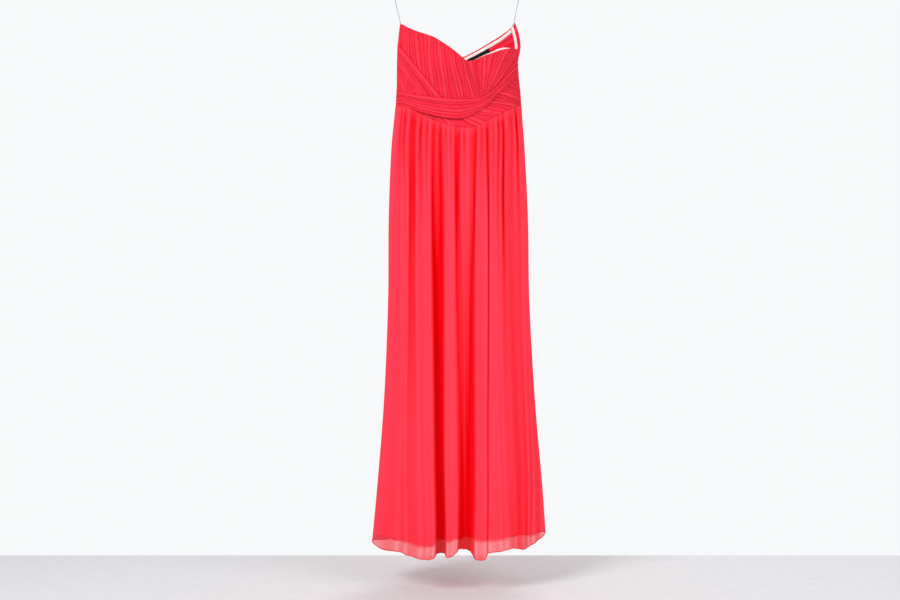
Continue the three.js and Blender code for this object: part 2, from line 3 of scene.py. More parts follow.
import bpy
import numpy as np
from bpy.props import FloatProperty, FloatVectorProperty, IntProperty, PointerProperty
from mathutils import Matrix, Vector


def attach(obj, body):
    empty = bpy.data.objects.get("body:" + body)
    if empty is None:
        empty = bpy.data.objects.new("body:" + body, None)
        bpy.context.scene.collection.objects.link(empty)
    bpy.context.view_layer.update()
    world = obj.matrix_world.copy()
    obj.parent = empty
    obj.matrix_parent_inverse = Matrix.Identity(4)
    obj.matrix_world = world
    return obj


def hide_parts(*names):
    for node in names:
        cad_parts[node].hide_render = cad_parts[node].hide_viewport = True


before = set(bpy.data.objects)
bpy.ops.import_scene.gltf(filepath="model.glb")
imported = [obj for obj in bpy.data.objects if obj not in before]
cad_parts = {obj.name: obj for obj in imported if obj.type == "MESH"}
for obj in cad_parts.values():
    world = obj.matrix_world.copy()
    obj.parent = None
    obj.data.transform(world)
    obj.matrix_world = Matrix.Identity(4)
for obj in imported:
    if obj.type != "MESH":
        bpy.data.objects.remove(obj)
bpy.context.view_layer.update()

bl_info = {
    "name": "Strapless pleated dress",
    "version": (1, 0, 0),
    "blender": (4, 5, 0),
    "location": "View3D > Sidebar > Dress",
    "description": "Builds a hanging strapless chiffon dress, piece by piece",
    "category": "Object",
}

# The tables are in millimetres and degrees, and the finished pieces in metres.
# Angles run round the body: -90 at its right side, 0 at the front, 90 at its left side and 180
# at the back.
MM = 0.001
# The bodice's cloth between its pleats, how far the pleats rise above that, and how far a layer
# lies out from the body to clear the pleats of the layer under it.
WALL = 0.8
PLEAT_HEIGHT = 2.4
LAYER_LIFT = WALL + PLEAT_HEIGHT + 0.5
SEAM_GAP = 0.4

# Hollow shape inside the cloth: its two sides, how far it reaches to the front and the back of
# the side seams, and how pointed each half is towards the seams.
LEVEL_COLUMNS = ("z", "left", "right", "front", "back", "seam", "front_point", "back_point")
LEVELS = np.array([
    (-90, -147, 151, 60, 83, 0, 1.5, 2.2),
    (-155, -154, 165, 78, 78, 0, 1.5, 2.2),
    (-205, -156, 158, 86, 70, 0, 1.4, 1.9),
    (-282, -157, 165, 64, 54, 0, 1.3, 1.5),
    (-330, -161, 168, 53, 49, 0, 1.2, 1.3),
    (-425, -170, 175, 54, 50, 0, 1.2, 1.2),
    (-604, -177, 184, 66, 58, 3, 1.2, 1.2),
    (-818, -179, 188, 84, 66, 8, 1.2, 1.2),
    (-1078, -190, 203, 104, 76, 16, 1.2, 1.2),
    (-1314, -209, 224, 122, 86, 25, 1.2, 1.2),
    (-1470, -224, 235, 130, 92, 30, 1.2, 1.2),
], float)


def smooth(t):
    """0 below 0, 1 above 1, and an eased climb between."""
    t = np.clip(t, 0, 1)
    return t * t * (3 - 2 * t)


def blend(keys, values, at):
    """Smooth value of a table's column between its rows, held beyond its ends."""
    keys, values = np.asarray(keys, float), np.asarray(values, float)
    if keys[0] > keys[-1]:
        keys, values = keys[::-1], values[::-1]
    slopes = np.empty_like(values)
    slopes[1:-1] = (values[2:] - values[:-2]) / (keys[2:] - keys[:-2])
    slopes[0] = (values[1] - values[0]) / (keys[1] - keys[0])
    slopes[-1] = (values[-1] - values[-2]) / (keys[-1] - keys[-2])
    at = np.clip(at, keys[0], keys[-1])
    i = np.clip(np.searchsorted(keys, at, side="right") - 1, 0, len(keys) - 2)
    width = keys[i + 1] - keys[i]
    t = (at - keys[i]) / width
    return (
        (2 * t**3 - 3 * t**2 + 1) * values[i]
        + (t**3 - 2 * t**2 + t) * slopes[i] * width
        + (-2 * t**3 + 3 * t**2) * values[i + 1]
        + (t**3 - t**2) * slopes[i + 1] * width
    )


def level(name, z):
    return blend(LEVELS[:, 0], LEVELS[:, LEVEL_COLUMNS.index(name)], z)


def body_point(angle, z, inset=0.0):
    """Point of the hollow shape, moved inwards from the front or the back by the inset."""
    angle, z, inset = np.broadcast_arrays(angle, z, inset)
    left, right = level("left", z), level("right", z)
    turn = np.radians(angle)
    c = np.cos(turn)
    reach = np.abs(c)
    x = (left + right) / 2 + (right - left) / 2 * np.sin(turn)
    front = level("seam", z) - level("front", z) * reach ** level("front_point", z) + inset
    back = level("seam", z) + level("back", z) * reach ** level("back_point", z) - inset
    return np.stack([x, np.where(c >= 0, front, back), z], -1)


def unit(vectors):
    return vectors / np.maximum(np.linalg.norm(vectors, axis=-1, keepdims=True), 1e-9)


def lifted_point(angle, z, lift):
    """Point of the hollow shape moved straight out of it."""
    round_body = body_point(angle + 2, z) - body_point(angle - 2, z)
    up_body = body_point(angle, z + 2) - body_point(angle, z - 2)
    out = unit(np.cross(round_body, up_body))
    return body_point(angle, z) + out * np.asarray(lift)[..., None]


def ripple(position, *waves):
    """Sum of sine waves of (length, strength, phase), the same on every run."""
    return sum(strength * np.sin(2 * np.pi * position / length + phase)
               for length, strength, phase in waves)


# Meshes


def new_object(name, points, faces, material, smooth_faces=True):
    """A mesh object from points in millimetres."""
    mesh = bpy.data.meshes.new(name)
    mesh.from_pydata((np.asarray(points) * MM).tolist(), [], faces)
    mesh.validate()
    if smooth_faces:
        mesh.shade_smooth()
    piece = bpy.data.objects.new(name, mesh)
    bpy.context.scene.collection.objects.link(piece)
    mesh.materials.append(material)
    return piece


def grid_faces(index, flip):
    """Quads of a grid of point numbers."""
    corners = [index[:-1, :-1], index[1:, :-1], index[1:, 1:], index[:-1, 1:]]
    if flip:
        corners.reverse()
    return np.stack([c.ravel() for c in corners], -1)


def shell(name, outer, inner, material):
    """A closed sheet of cloth between two grids of points, with its faces pointing out."""
    across, along = outer.shape[:2]
    points = np.concatenate([outer.reshape(-1, 3), inner.reshape(-1, 3)])
    top = np.arange(across * along).reshape(across, along)
    under = top + across * along
    rim = np.concatenate([top[:, 0], top[-1, 1:], top[-2::-1, -1], top[0, -2::-1]])
    rim_under = rim + across * along
    faces = np.concatenate([
        grid_faces(top, False),
        grid_faces(under, True),
        grid_faces(np.stack([rim, rim_under], -1), False),
    ])
    a, b, c, d = (points[faces[:, k]] for k in range(4))
    if np.sum(a * np.cross(b, c)) + np.sum(a * np.cross(c, d)) < 0:
        faces = faces[:, ::-1]
    return new_object(name, points, faces.tolist(), material)


def grid_normals(grid):
    """Unit normals of a grid of points."""
    return unit(np.cross(np.gradient(grid, axis=0), np.gradient(grid, axis=1)))


def tube_faces(first, rings, sides):
    """Faces of a tube with closed ends, whose points are numbered ring by ring from the first."""
    index = first + np.arange(rings * sides).reshape(rings, sides)
    wrapped = np.concatenate([index, index[:, :1]], 1)
    return [*grid_faces(wrapped, True).tolist(), index[0].tolist(), index[-1][::-1].tolist()]


def tube(name, centres, across, sides, radii, material):
    """A tube with an oval section, round a line of centres. across is the section's wide way."""
    forward = unit(np.gradient(centres, axis=0))
    wide = unit(across - forward * np.sum(across * forward, axis=-1, keepdims=True))
    thick = np.cross(forward, wide)
    turn = np.linspace(0, 2 * np.pi, sides, endpoint=False)
    ring = (
        centres[:, None]
        + wide[:, None] * (np.cos(turn) * radii[0])[None, :, None]
        + thick[:, None] * (np.sin(turn) * radii[1])[None, :, None]
    )
    return new_object(name, ring.reshape(-1, 3), tube_faces(0, len(centres), sides), material)


# Materials


def linear(colour):
    """sRGB 0-255 as Blender's linear colour."""
    parts = [c / 255 for c in colour]
    return tuple(c / 12.92 if c <= 0.04045 else ((c + 0.055) / 1.055) ** 2.4 for c in parts) + (1.0,)


def scaled(colour, share):
    return tuple(c * share for c in colour[:3]) + (1.0,)


def set_inputs(tree, node, inputs):
    """Sets a node's inputs by name or number. A socket is linked to its input."""
    for name, value in inputs.items():
        if isinstance(value, bpy.types.NodeSocket):
            tree.links.new(value, node.inputs[name])
        else:
            node.inputs[name].default_value = value


def add_node(tree, kind, inputs=None, **settings):
    node = tree.nodes.new(f"ShaderNode{kind}")
    for name, value in settings.items():
        setattr(node, name, value)
    set_inputs(tree, node, inputs or {})
    return node


def add_place(tree):
    """Each point's place on the object, in metres."""
    return add_node(tree, "TexCoord").outputs["Object"]


def add_attribute(tree, name):
    return add_node(tree, "Attribute", attribute_name=name).outputs["Fac"]


def add_math(tree, operation, first, second):
    """A math node on two sockets or numbers."""
    return add_node(tree, "Math", {0: first, 1: second}, operation=operation).outputs[0]


def add_sum(tree, *parts):
    """Sum of sockets, each given with its weight."""
    total = None
    for socket, weight in parts:
        part = add_math(tree, "MULTIPLY", socket, weight)
        total = part if total is None else add_math(tree, "ADD", total, part)
    return total


def add_mix(tree, share, first, second):
    """A colour between two others."""
    inputs = {"Factor": share, "A": first, "B": second}
    return add_node(tree, "Mix", inputs, data_type="RGBA").outputs["Result"]


def add_tone(tree, shade, dark, light):
    """A colour that runs from dark to light with a shade, by way of a soft contrast."""
    ramp = add_node(tree, "MapRange", {"Value": shade, "From Min": 0.3, "From Max": 0.7})
    return add_mix(tree, ramp.outputs["Result"], dark, light)


def add_noise(tree, vector, scale, detail, roughness=0.5):
    inputs = {"Vector": vector, "Scale": scale, "Detail": detail, "Roughness": roughness}
    return add_node(tree, "TexNoise", inputs).outputs["Fac"]


def add_mapping(tree, vector, scale):
    return add_node(tree, "Mapping", {"Vector": vector, "Scale": scale}).outputs["Vector"]


def add_threads(tree, vector, direction, per_metre):
    """Fine lines across one direction, as the threads of a weave."""
    inputs = {"Vector": vector, "Scale": per_metre, "Distortion": 1.5, "Detail": 1}
    return add_node(tree, "TexWave", inputs, bands_direction=direction).outputs["Fac"]


def add_relief(tree, shader, height, strength, depth):
    bump = add_node(tree, "Bump", {"Strength": strength, "Distance": depth, "Height": height})
    set_inputs(tree, shader, {"Normal": bump.outputs["Normal"]})


def weave(tree, given):
    """Crossing threads and crepe grain."""
    place = add_place(tree)
    warp, weft = (add_threads(tree, place, direction, given["Threads"]) for direction in "XZ")
    grain = add_noise(tree, place, given["Grain"], 3)
    patches = add_noise(tree, place, 22.0, 3)
    height = add_sum(tree, (warp, 0.3), (weft, 0.3), (grain, 0.7))
    return height, add_sum(tree, (grain, 0.45), (patches, 0.55))


def crinkle(tree, given):
    """Fine creases that run down hanging cloth, and their painted shade: the shade is the broad
    creases' height, so the tone is darker in their hollows.
    """
    place = add_place(tree)
    fine = add_noise(tree, add_mapping(tree, place, (330, 160, 9)), given["Density"], 3)
    broad = add_noise(tree, add_mapping(tree, place, (90, 60, 3)), given["Density"], 2)
    return add_sum(tree, (fine, 0.4), (broad, 0.6)), broad


def pleat_creases(tree, given):
    """Fine creases that run along the pleats, by the attributes "across" and "along", and their painted
    shade: the shade is their height, so the tone is darker in their hollows.
    """
    ways = {"X": add_attribute(tree, "across"), "Y": add_attribute(tree, "along")}
    place = add_node(tree, "CombineXYZ", ways).outputs["Vector"]
    fine = add_noise(tree, add_mapping(tree, place, (1, 0.35, 1)), given["Density"], 3, 0.6)
    return fine, fine


# Node groups: what finds their height and shade, and their inputs with the usual values.
GROUPS = {
    "crepe weave": (weave, {"Threads": 380.0, "Grain": 900.0}),
    "hanging crinkle": (crinkle, {"Density": 1.0}),
    "pleat creases": (pleat_creases, {"Density": 2.4}),
}


def made_group(name):
    """A node group of the table, made at its first use."""
    if name in bpy.data.node_groups:
        return bpy.data.node_groups[name]
    build, inputs = GROUPS[name]
    group = bpy.data.node_groups.new(name, "ShaderNodeTree")
    for socket, default in inputs.items():
        made = group.interface.new_socket(socket, in_out="INPUT", socket_type="NodeSocketFloat")
        made.default_value = default
    for socket in ("Height", "Shade"):
        group.interface.new_socket(socket, in_out="OUTPUT", socket_type="NodeSocketFloat")
    height, shade = build(group, group.nodes.new("NodeGroupInput").outputs)
    set_inputs(group, group.nodes.new("NodeGroupOutput"), {"Height": height, "Shade": shade})
    return group


def add_group(tree, name, inputs=None):
    """Height and shade of a node group of the table."""
    node = tree.nodes.new("ShaderNodeGroup")
    node.node_tree = made_group(name)
    set_inputs(tree, node, inputs or {})
    return node.outputs["Height"], node.outputs["Shade"]


def new_material(name):
    """A material, with its tree and its shader."""
    material = bpy.data.materials.new(name)
    material.use_nodes = True
    return material, material.node_tree, material.node_tree.nodes["Principled BSDF"]


# How much higher the creases of a cloth are than its weave, and how much of its contrast goes to
# the light side.
CREASE_HEIGHT = 4
LIGHTER_SHARE = 0.4


def cloth_material(name, colour, roughness=0.85, sheen=0.05, threads=380.0, grain=900.0, creases=None,
                   crease_share=0.35, bump=0.25, depth=0.0004, contrast=0.1, shine=0.06, deep=None,
                   sheer=None, painted_glow=0.0):
    """Woven cloth with crepe grain. creases names a group that adds its height and its shade; that
    shade is painted shade, darker in the creases' hollows. deep is painted shade: the cloth's colour
    down in the folds, by the attribute "fold", standing for the shade and the bounced red light there.
    sheer is how opaque each wall stays where the attribute "sheer" is 1. The cloth's emission is a
    painted glow that stands for the light the cloth lets pass from behind, and in a cloth with a deep
    colour it shows only down in the folds."""
    if name in bpy.data.materials:
        return bpy.data.materials[name]
    material, tree, shader = new_material(name)
    height, shade = add_group(tree, "crepe weave", {"Threads": threads, "Grain": grain})
    if creases:
        more_height, more_shade = add_group(tree, creases)
        height = add_sum(tree, (height, 1 - crease_share),
                         (more_height, CREASE_HEIGHT * crease_share))
        # The creases' shade is painted shade: the tone is darker in their hollows.
        shade = add_sum(tree, (shade, 0.5), (more_shade, 0.5))
    tone = add_tone(tree, shade, scaled(colour, 1 - contrast),
                    scaled(colour, 1 + contrast * LIGHTER_SHARE))
    # The emission is a painted glow that stands for light the cloth lets pass from behind.
    glow = painted_glow
    if deep:
        # Painted shade: the deep colour is mixed in down in the folds by the attribute "fold", and the
        # painted glow shows only there.
        fold = add_attribute(tree, "fold")
        tone = add_mix(tree, fold, tone, deep)
        glow = add_math(tree, "MULTIPLY", fold, painted_glow) if painted_glow else 0.0
    set_inputs(tree, shader, {"Base Color": tone, "Roughness": roughness, "Sheen Weight": sheen,
                              "Sheen Roughness": 0.4, "Specular IOR Level": shine,
                              "Emission Strength": glow})
    if painted_glow:
        set_inputs(tree, shader, {"Emission Color": tone})
    if sheer:
        thin = add_math(tree, "MULTIPLY", add_attribute(tree, "sheer"), 1 - sheer)
        set_inputs(tree, shader, {"Alpha": add_math(tree, "SUBTRACT", 1.0, thin)})
    add_relief(tree, shader, height, bump, depth)
    return material


def painted_metal(name, colour):
    """Enamelled metal with small chips of wear."""
    material, tree, shader = new_material(name)
    wear = add_noise(tree, add_place(tree), 700.0, 4)
    set_inputs(tree, shader, {
        "Base Color": add_tone(tree, wear, scaled(colour, 0.8), scaled(colour, 1.05)),
        "Roughness": add_math(tree, "ADD", add_math(tree, "MULTIPLY", wear, 0.25), 0.25),
        "Metallic": 0.35,
        "Coat Weight": 0.4,
        "Coat Roughness": 0.15,
    })
    add_relief(tree, shader, wear, 0.2, 0.0001)
    return material


# Settings


class DressSizes(bpy.types.PropertyGroup):
    """Sizes of the dress that can be changed."""

    def length(name, description, default):
        return FloatProperty(name=name, description=description, default=default, min=0, unit="LENGTH")

    chiffon_thickness: length("Chiffon thickness", "Thickness of the outer skirt", 0.0004)
    lining_thickness: length("Lining thickness", "Thickness of the skirt's lining", 0.0005)
    hem_thickness: length("Hem thickness", "Thickness of the chiffon's rolled hem", 0.0024)
    gather_depth: length("Gather depth", "Depth of the small gathers under the waist", 0.0018)
    ribbon_width: length("Loop width", "Width of the hanging loops' ribbon", 0.003)
    ribbon_thickness: length("Loop thickness", "Thickness of the hanging loops' ribbon", 0.001)
    stitch_spacing: length("Stitch spacing", "Distance between stitches", 0.0034)
    pleat_overhang: FloatProperty(
        name="Pleat overhang", description="How far a pleat leans over the next, a share of its width",
        default=0.12, min=0, max=0.4, subtype="FACTOR")
    chiffon_columns: IntProperty(
        name="Chiffon columns", description="Mesh columns across each half of the skirt",
        default=300, min=80)


class DressColours(bpy.types.PropertyGroup):
    """Colours of the dress that can be changed."""

    def colour(name, description, srgb):
        return FloatVectorProperty(
            name=name, description=description, default=linear(srgb), size=4, min=0, max=1,
            subtype="COLOR")

    chiffon: colour("Chiffon", "Colour of the skirt and the pleated bodice", (254, 61, 81))
    # Painted shade: the chiffon's colour down in its folds.
    deep: colour("Deep folds", "Colour of the chiffon down in its folds", (230, 1, 17))
    # Painted shade: the bodice's colour down between its pleats.
    painted_groove_shade: colour("Pleat grooves", "Colour of the bodice down between its pleats", (222, 12, 42))
    lining: colour("Lining", "Colour of the lining", (244, 48, 62))
    tape: colour("Grip tape", "Colour of the tape inside the top edge", (246, 236, 234))
    label: colour("Label", "Colour of the sewn-in label", (9, 9, 10))
    ribbon: colour("Loops", "Colour of the hanging loops", (186, 190, 196))
    thread: colour("Thread", "Colour of the sewing thread", (222, 60, 74))
    metal: colour("Zip", "Colour of the zip's slider and pull", (216, 62, 74))
    floor: colour("Floor", "Colour of the studio floor", (216, 216, 218))


def sizes():
    return bpy.context.scene.dress_sizes


def colour_of(name):
    return tuple(getattr(bpy.context.scene.dress_colours, name))


def chiffon_material():
    # The deep colour is painted shade in the folds, and the emission is a painted glow there.
    return cloth_material("red chiffon", colour_of("chiffon"), creases="hanging crinkle",
                          deep=colour_of("deep"), sheer=0.5, painted_glow=0.12)


def bodice_material():
    # The bodice's deep colour is painted shade down between its pleats.
    return cloth_material("pleated crepe", colour_of("chiffon"), grain=1100.0,
                          creases="pleat creases", crease_share=0.7, bump=0.9, depth=0.001,
                          contrast=0.4, deep=colour_of("painted_groove_shade"))


def lining_material():
    # The emission is a painted glow that lightens the lining where it lies in the chiffon's shadow.
    return cloth_material("red lining", colour_of("lining"), roughness=0.6, shine=0.1, grain=500.0,
                          bump=0.1, painted_glow=0.07)


def mark(piece, name, values):
    """Gives every point of a mesh a value that its material reads."""
    attribute = piece.data.attributes.new(name, "FLOAT", "POINT")
    attribute.data.foreach_set("value", np.asarray(values, np.float32).ravel())


def finish_piece(piece, nodes, body="dress"):
    """What every piece tells the frame."""
    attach(piece, body)
    if nodes:
        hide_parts(*nodes)


# Stage

CAMERA_PLACE = (-0.0182, -2.925, -0.8176)
CAMERA_LENS = 45
CAMERA_SENSOR = 36
# y of the floor's far edge, its z, and its size.
FLOOR_END = 0.345
FLOOR_LEVEL = -1.56
FLOOR_SIZE = (4.4, 2.2)
WALL_COLOUR = (0.93, 0.94, 0.95, 1)
GLOW_COLOUR = (0.97, 0.98, 1, 1)
GLOW_STRENGTH = 0.42
LIGHT_TARGET = (0, 0, -0.78)
# name, place, size and power
STUDIO_LIGHTS = (
    ("key", (-2.0, -2.4, 1.2), 1.4, 98),
    ("fill", (2.6, -2.2, 0.2), 2.4, 66),
    ("rear", (0.9, 2.6, 0.5), 2.0, 50),
)


class DRESS_OT_stage(bpy.types.Operator):
    """Camera, floor and studio light"""

    bl_idname = "dress.stage"
    bl_label = "Stage"

    def execute(self, context):
        scene = context.scene
        camera = bpy.data.objects.new("Camera", bpy.data.cameras.new("Camera"))
        camera.data.lens = CAMERA_LENS
        camera.data.sensor_width = CAMERA_SENSOR
        camera.location = CAMERA_PLACE
        camera.rotation_euler = (math.radians(90), 0, 0)
        scene.collection.objects.link(camera)
        scene.camera = camera
        scene.view_settings.view_transform = "Standard"
        self.add_floor(context)
        self.add_lights(scene)
        self.set_world(scene)
        return {"FINISHED"}

    def add_floor(self, context):
        bpy.ops.object.select_all(action="DESELECT")
        middle = (0, FLOOR_END - FLOOR_SIZE[1] / 2, FLOOR_LEVEL)
        bpy.ops.mesh.primitive_plane_add(size=1, location=middle)
        floor = context.active_object
        floor.name = "floor"
        floor.scale = (*FLOOR_SIZE, 1)
        bpy.ops.object.transform_apply(location=True, rotation=True, scale=True)
        material, tree, shader = new_material("studio floor")
        colour = colour_of("floor")
        grain = add_noise(tree, add_place(tree), 60.0, 4)
        tone = add_tone(tree, grain, scaled(colour, 0.94), colour)
        set_inputs(tree, shader, {"Base Color": tone, "Roughness": 0.9})
        floor.data.materials.append(material)

    def add_lights(self, scene):
        target = Vector(LIGHT_TARGET)
        for name, place, size, power in STUDIO_LIGHTS:
            light = bpy.data.lights.new(name, "AREA")
            light.size = size
            light.energy = power
            lamp = bpy.data.objects.new(name, light)
            lamp.location = place
            lamp.rotation_euler = (target - Vector(place)).to_track_quat("-Z", "Y").to_euler()
            scene.collection.objects.link(lamp)

    def set_world(self, scene):
        """The camera sees a pale wall, and the light from it is a little weaker."""
        world = bpy.data.worlds.new("studio")
        scene.world = world
        world.use_nodes = True
        tree = world.node_tree
        tree.nodes.clear()
        seen = add_node(tree, "Background", {"Color": WALL_COLOUR})
        glow = add_node(tree, "Background", {"Color": GLOW_COLOUR, "Strength": GLOW_STRENGTH})
        to_camera = add_node(tree, "LightPath").outputs["Is Camera Ray"]
        both = add_node(tree, "MixShader", {0: to_camera, 1: glow.outputs[0], 2: seen.outputs[0]})
        add_node(tree, "OutputWorld", {"Surface": both.outputs[0]})


# Hanging loops

# name, foot of the loop, x of its top, its real length
LOOPS = (
    ("right", (-144.5, -0.1, -108), -170, 0.232),
    ("left", (146.5, 1.6, -106), 167, 0.228),
)
# z of their tops, how far the sewn ends lie from their middle, how wide the loops open, how many
# turns the ribbon twists, and the points along it.
LOOP_TOP = -0.5
LOOP_ENDS = 0.75
LOOP_SPREAD = 13
LOOP_TWIST = 2.2
LOOP_POINTS = 97


def loop_line(foot, top_x):
    """The line that a loop follows, from one sewn end up to its hook and back."""
    x, y, z = foot
    t = np.linspace(0, 1, LOOP_POINTS)
    rise = np.sin(np.pi * t)
    opening = LOOP_SPREAD * np.sin(2 * np.pi * t) * rise**0.5
    return np.stack([
        x + (top_x - x) * rise,
        y * (1 - rise) - LOOP_ENDS * (1 - 2 * t) - opening,
        z + (LOOP_TOP - z) * rise,
    ], -1)


class DRESS_OT_loops(bpy.types.Operator):
    """Narrow ribbon loops that the dress hangs from"""

    bl_idname = "dress.loops"
    bl_label = "Hanging loops"

    def execute(self, context):
        material = cloth_material(
            "loop ribbon", colour_of("ribbon"), roughness=0.45, shine=0.3, threads=900.0, grain=2400.0,
            bump=0.4, depth=0.0002, contrast=0.3)
        turn = LOOP_TWIST * 2 * np.pi * smooth(np.linspace(0, 1, LOOP_POINTS))
        across = np.stack([np.sin(turn), np.cos(turn), np.full(LOOP_POINTS, 0.2)], -1)
        radii = (sizes().ribbon_width / MM / 2, sizes().ribbon_thickness / MM / 2)
        for name, foot, top_x, length in LOOPS:
            centres = loop_line(foot, top_x)
            piece = tube(f"loop_ribbon_{name}", centres, across, 12, radii, material)
            finish_piece(piece, [f"loop_{name}"])
        return {"FINISHED"}


# Skirt

# Angle and z of points of the waist seam.
WAIST = np.array([
    (-90, -315), (-60, -320), (-48, -327), (-39, -339), (-30, -350), (-19, -361), (-8, -372), (2, -380),
    (7, -381), (16, -373), (24, -362), (34, -351), (41, -342), (53, -329), (70, -317), (92, -313),
    (130, -317), (180, -320), (230, -319), (270, -315),
], float)

# One row for each crease, valleys and ridges in turn: its x and then its depth at each of the
# crease levels. The front runs from the right side to the left, and the back the other way.
CREASE_LEVELS = (-396, -562, -818, -1200, -1430)
FRONT_CREASES = np.array([
    (-155, -166, -174, -189, -205, 0, 0, 0, 0, 0),
    (-147, -147, -147, -157, -169, 5, 2, 1.5, 1.5, 4),
    (-142, -141, -140, -146, -153, 1.5, 0, 0, 0, 0),
    (-137, -135, -135, -138, -140, 7, 2.5, 1, 1, 4),
    (-128, -127, -128, -133, -129, 0, 0, 0, 0, 0),
    (-119, -118, -119, -124, -120, 8, 15, 12, 4, 5),
    (-111, -108, -108, -111, -107, 9, 15, 10, 3, 4),
    (-102, -104, -104, -99, -91, 0, 0, 0, 0, 0),
    (-94, -92, -91, -89, -81, 9, 4, 2, 1.5, 3),
    (-85, -84, -82, -80, -74, 0.5, 0, 0, 0, 0),
    (-78, -78, -75, -73, -67, 6, 2, 1, 1, 2),
    (-70, -70, -67, -62, -58, 0, 0, 0, 0, 0),
    (-60, -64, -60, -54, -50, 8, 16, 28, 34, 40),
    (-50, -51, -48, -44, -41, 1.5, 10, 30, 36, 42),
    (-42, -39, -36, -35, -31, 10, 18, 32, 36, 42),
    (-35, -30, -30, -29, -25, 0, 0, 0, 0, 0),
    (-28, -24, -21, -20, -18, 4, 1, 0.5, 1, 2),
    (-22, -18, -15, -13, -11, 0, 0, 0, 0, 0),
    (-16, -13, -11, -8, -6, 5, 1, 0.5, 1, 2),
    (-11, -9, -8, -3, -2, 0, 0, 0, 0, 0),
    (-3, -4, -1, 6, 4, 8, 14, 14, 20, 30),
    (6, 3, 9, 13, 11, 7, 14, 12, 24, 34),
    (12, 11, 18, 19, 17, 0, 0, 6, 18, 30),
    (19, 20, 24, 24, 24, 5, 1.5, 8, 26, 36),
    (26, 29, 29, 29, 29, 0, 0, 9, 24, 34),
    (42, 39, 34, 34, 34, 6, 8, 20, 28, 34),
    (49, 45, 42, 42, 39, 9, 15, 20, 24, 30),
    (55, 50, 48, 49, 47, 0, 0, 0, 0, 0),
    (64, 62, 59, 59, 57, 5, 1.5, 2, 2, 3),
    (69, 74, 75, 73, 71, 0, 0, 0, 0, 0),
    (78, 81, 80, 78, 76, 10, 13, 10, 7, 8),
    (86, 85, 84, 83, 81, 0, 0, 0, 0, 0),
    (94, 94, 96, 101, 103, 4, 2, 1, 1, 2),
    (100, 99, 101, 107, 111, 0, 0, 0, 0, 0),
    (108, 103, 107, 114, 119, 8, 5, 1, 1.5, 3),
    (113, 110, 112, 119, 126, 0, 0, 0, 0, 1),
    (119, 118, 121, 132, 142, 11, 14, 7, 4, 9),
    (127, 125, 130, 140, 149, 0, 2, 4, 4, 7),
    (142, 141, 142, 156, 158, 5, 6, 7, 11, 16),
    (149, 151, 155, 168, 173, 0, 1, 3, 5, 8),
    (155, 159, 164, 176, 179, 11, 6, 5, 8, 10),
    (161, 166, 172, 182, 183, 0, 0, 0, 0, 1),
    (164, 170, 178, 190, 188, 1.5, 1, 1, 6, 7),
    (166, 173, 181, 195, 195, 0, 0, 0, 0, 0),
    (168, 176, 184, 204, 209, 0.5, 0.5, 0.5, 5, 9),
    (169, 178.5, 186, 211, 218, 0, 0, 0, 0, 0),
], float)
BACK_CREASES = np.array([
    (152, 156, 161, 174, 184, 5.5, 5, 6, 9.5, 12),
    (143, 145, 149, 160, 168, 0, 0, 1, 1.5, 2),
    (134, 135, 137, 145, 152, 8, 10, 12, 17, 19.5),
    (125, 126, 128, 136, 141, 0, 0, 0.5, 0.5, 1),
    (112, 112, 115, 122, 125, 7, 3, 2, 4, 6),
    (102, 103, 106, 110, 111, 0, 0, 0.5, 0.5, 1),
    (92, 94, 96, 97, 97, 9.5, 13, 16, 24.5, 29.5),
    (83, 84, 85, 85, 85, 0, 0, 0.5, 0.5, 0.5),
    (75, 76, 76, 74, 75, 7, 3.5, 3, 4, 5),
    (66, 66, 65, 64, 64, 0, 0, 0.5, 0.5, 0.5),
    (57, 55, 54, 53, 53, 10.5, 11.5, 10, 18, 23.5),
    (49, 48, 48, 47, 47, 0, 0, 0.5, 1, 1),
    (35, 35, 37, 37, 35, 7, 4.5, 4, 6.5, 8),
    (26, 27, 28, 25, 23, 0, 0, 0.5, 1, 1),
    (17, 18, 18, 14, 11, 8, 12, 18, 28, 33.5),
    (-3, -3, -3, -6, -6, 0, 0, 2, 3.5, 4),
    (-15, -16, -18, -19, -18, 5.5, 8.5, 14, 22.5, 27.5),
    (-26, -26, -27, -27, -27, 0, 0, 0.5, 0.5, 1),
    (-37, -38, -39, -40, -40, 7, 3.5, 3, 4.5, 6),
    (-47, -48, -48, -49, -51, 0, 0, 0.5, 0.5, 1),
    (-58, -57, -57, -59, -62, 10.5, 13, 15, 25, 31.5),
    (-67, -66, -67, -71, -73, 0, 0, 0.5, 0.5, 0.5),
    (-76, -76, -77, -82, -85, 7, 3, 2, 3, 4),
    (-85, -86, -88, -93, -95, 0, 0, 0.5, 0.5, 0.5),
    (-94, -95, -99, -104, -105, 9, 10.5, 12, 18, 21.5),
    (-107, -109, -112, -117, -120, 0, 0, 1, 1.5, 2),
    (-116, -119, -121, -126, -130, 7, 4.5, 5, 9, 12),
    (-127, -128, -131, -139, -145, 0, 0, 1, 1.5, 2),
    (-137, -138, -141, -152, -160, 7, 8.5, 9, 15.5, 19.5),
    (-144, -146, -151, -165, -174, 0, 0, 1, 1, 1.5),
    (-151, -154, -161, -179, -188, 4.5, 4, 5, 8, 10),
], float)
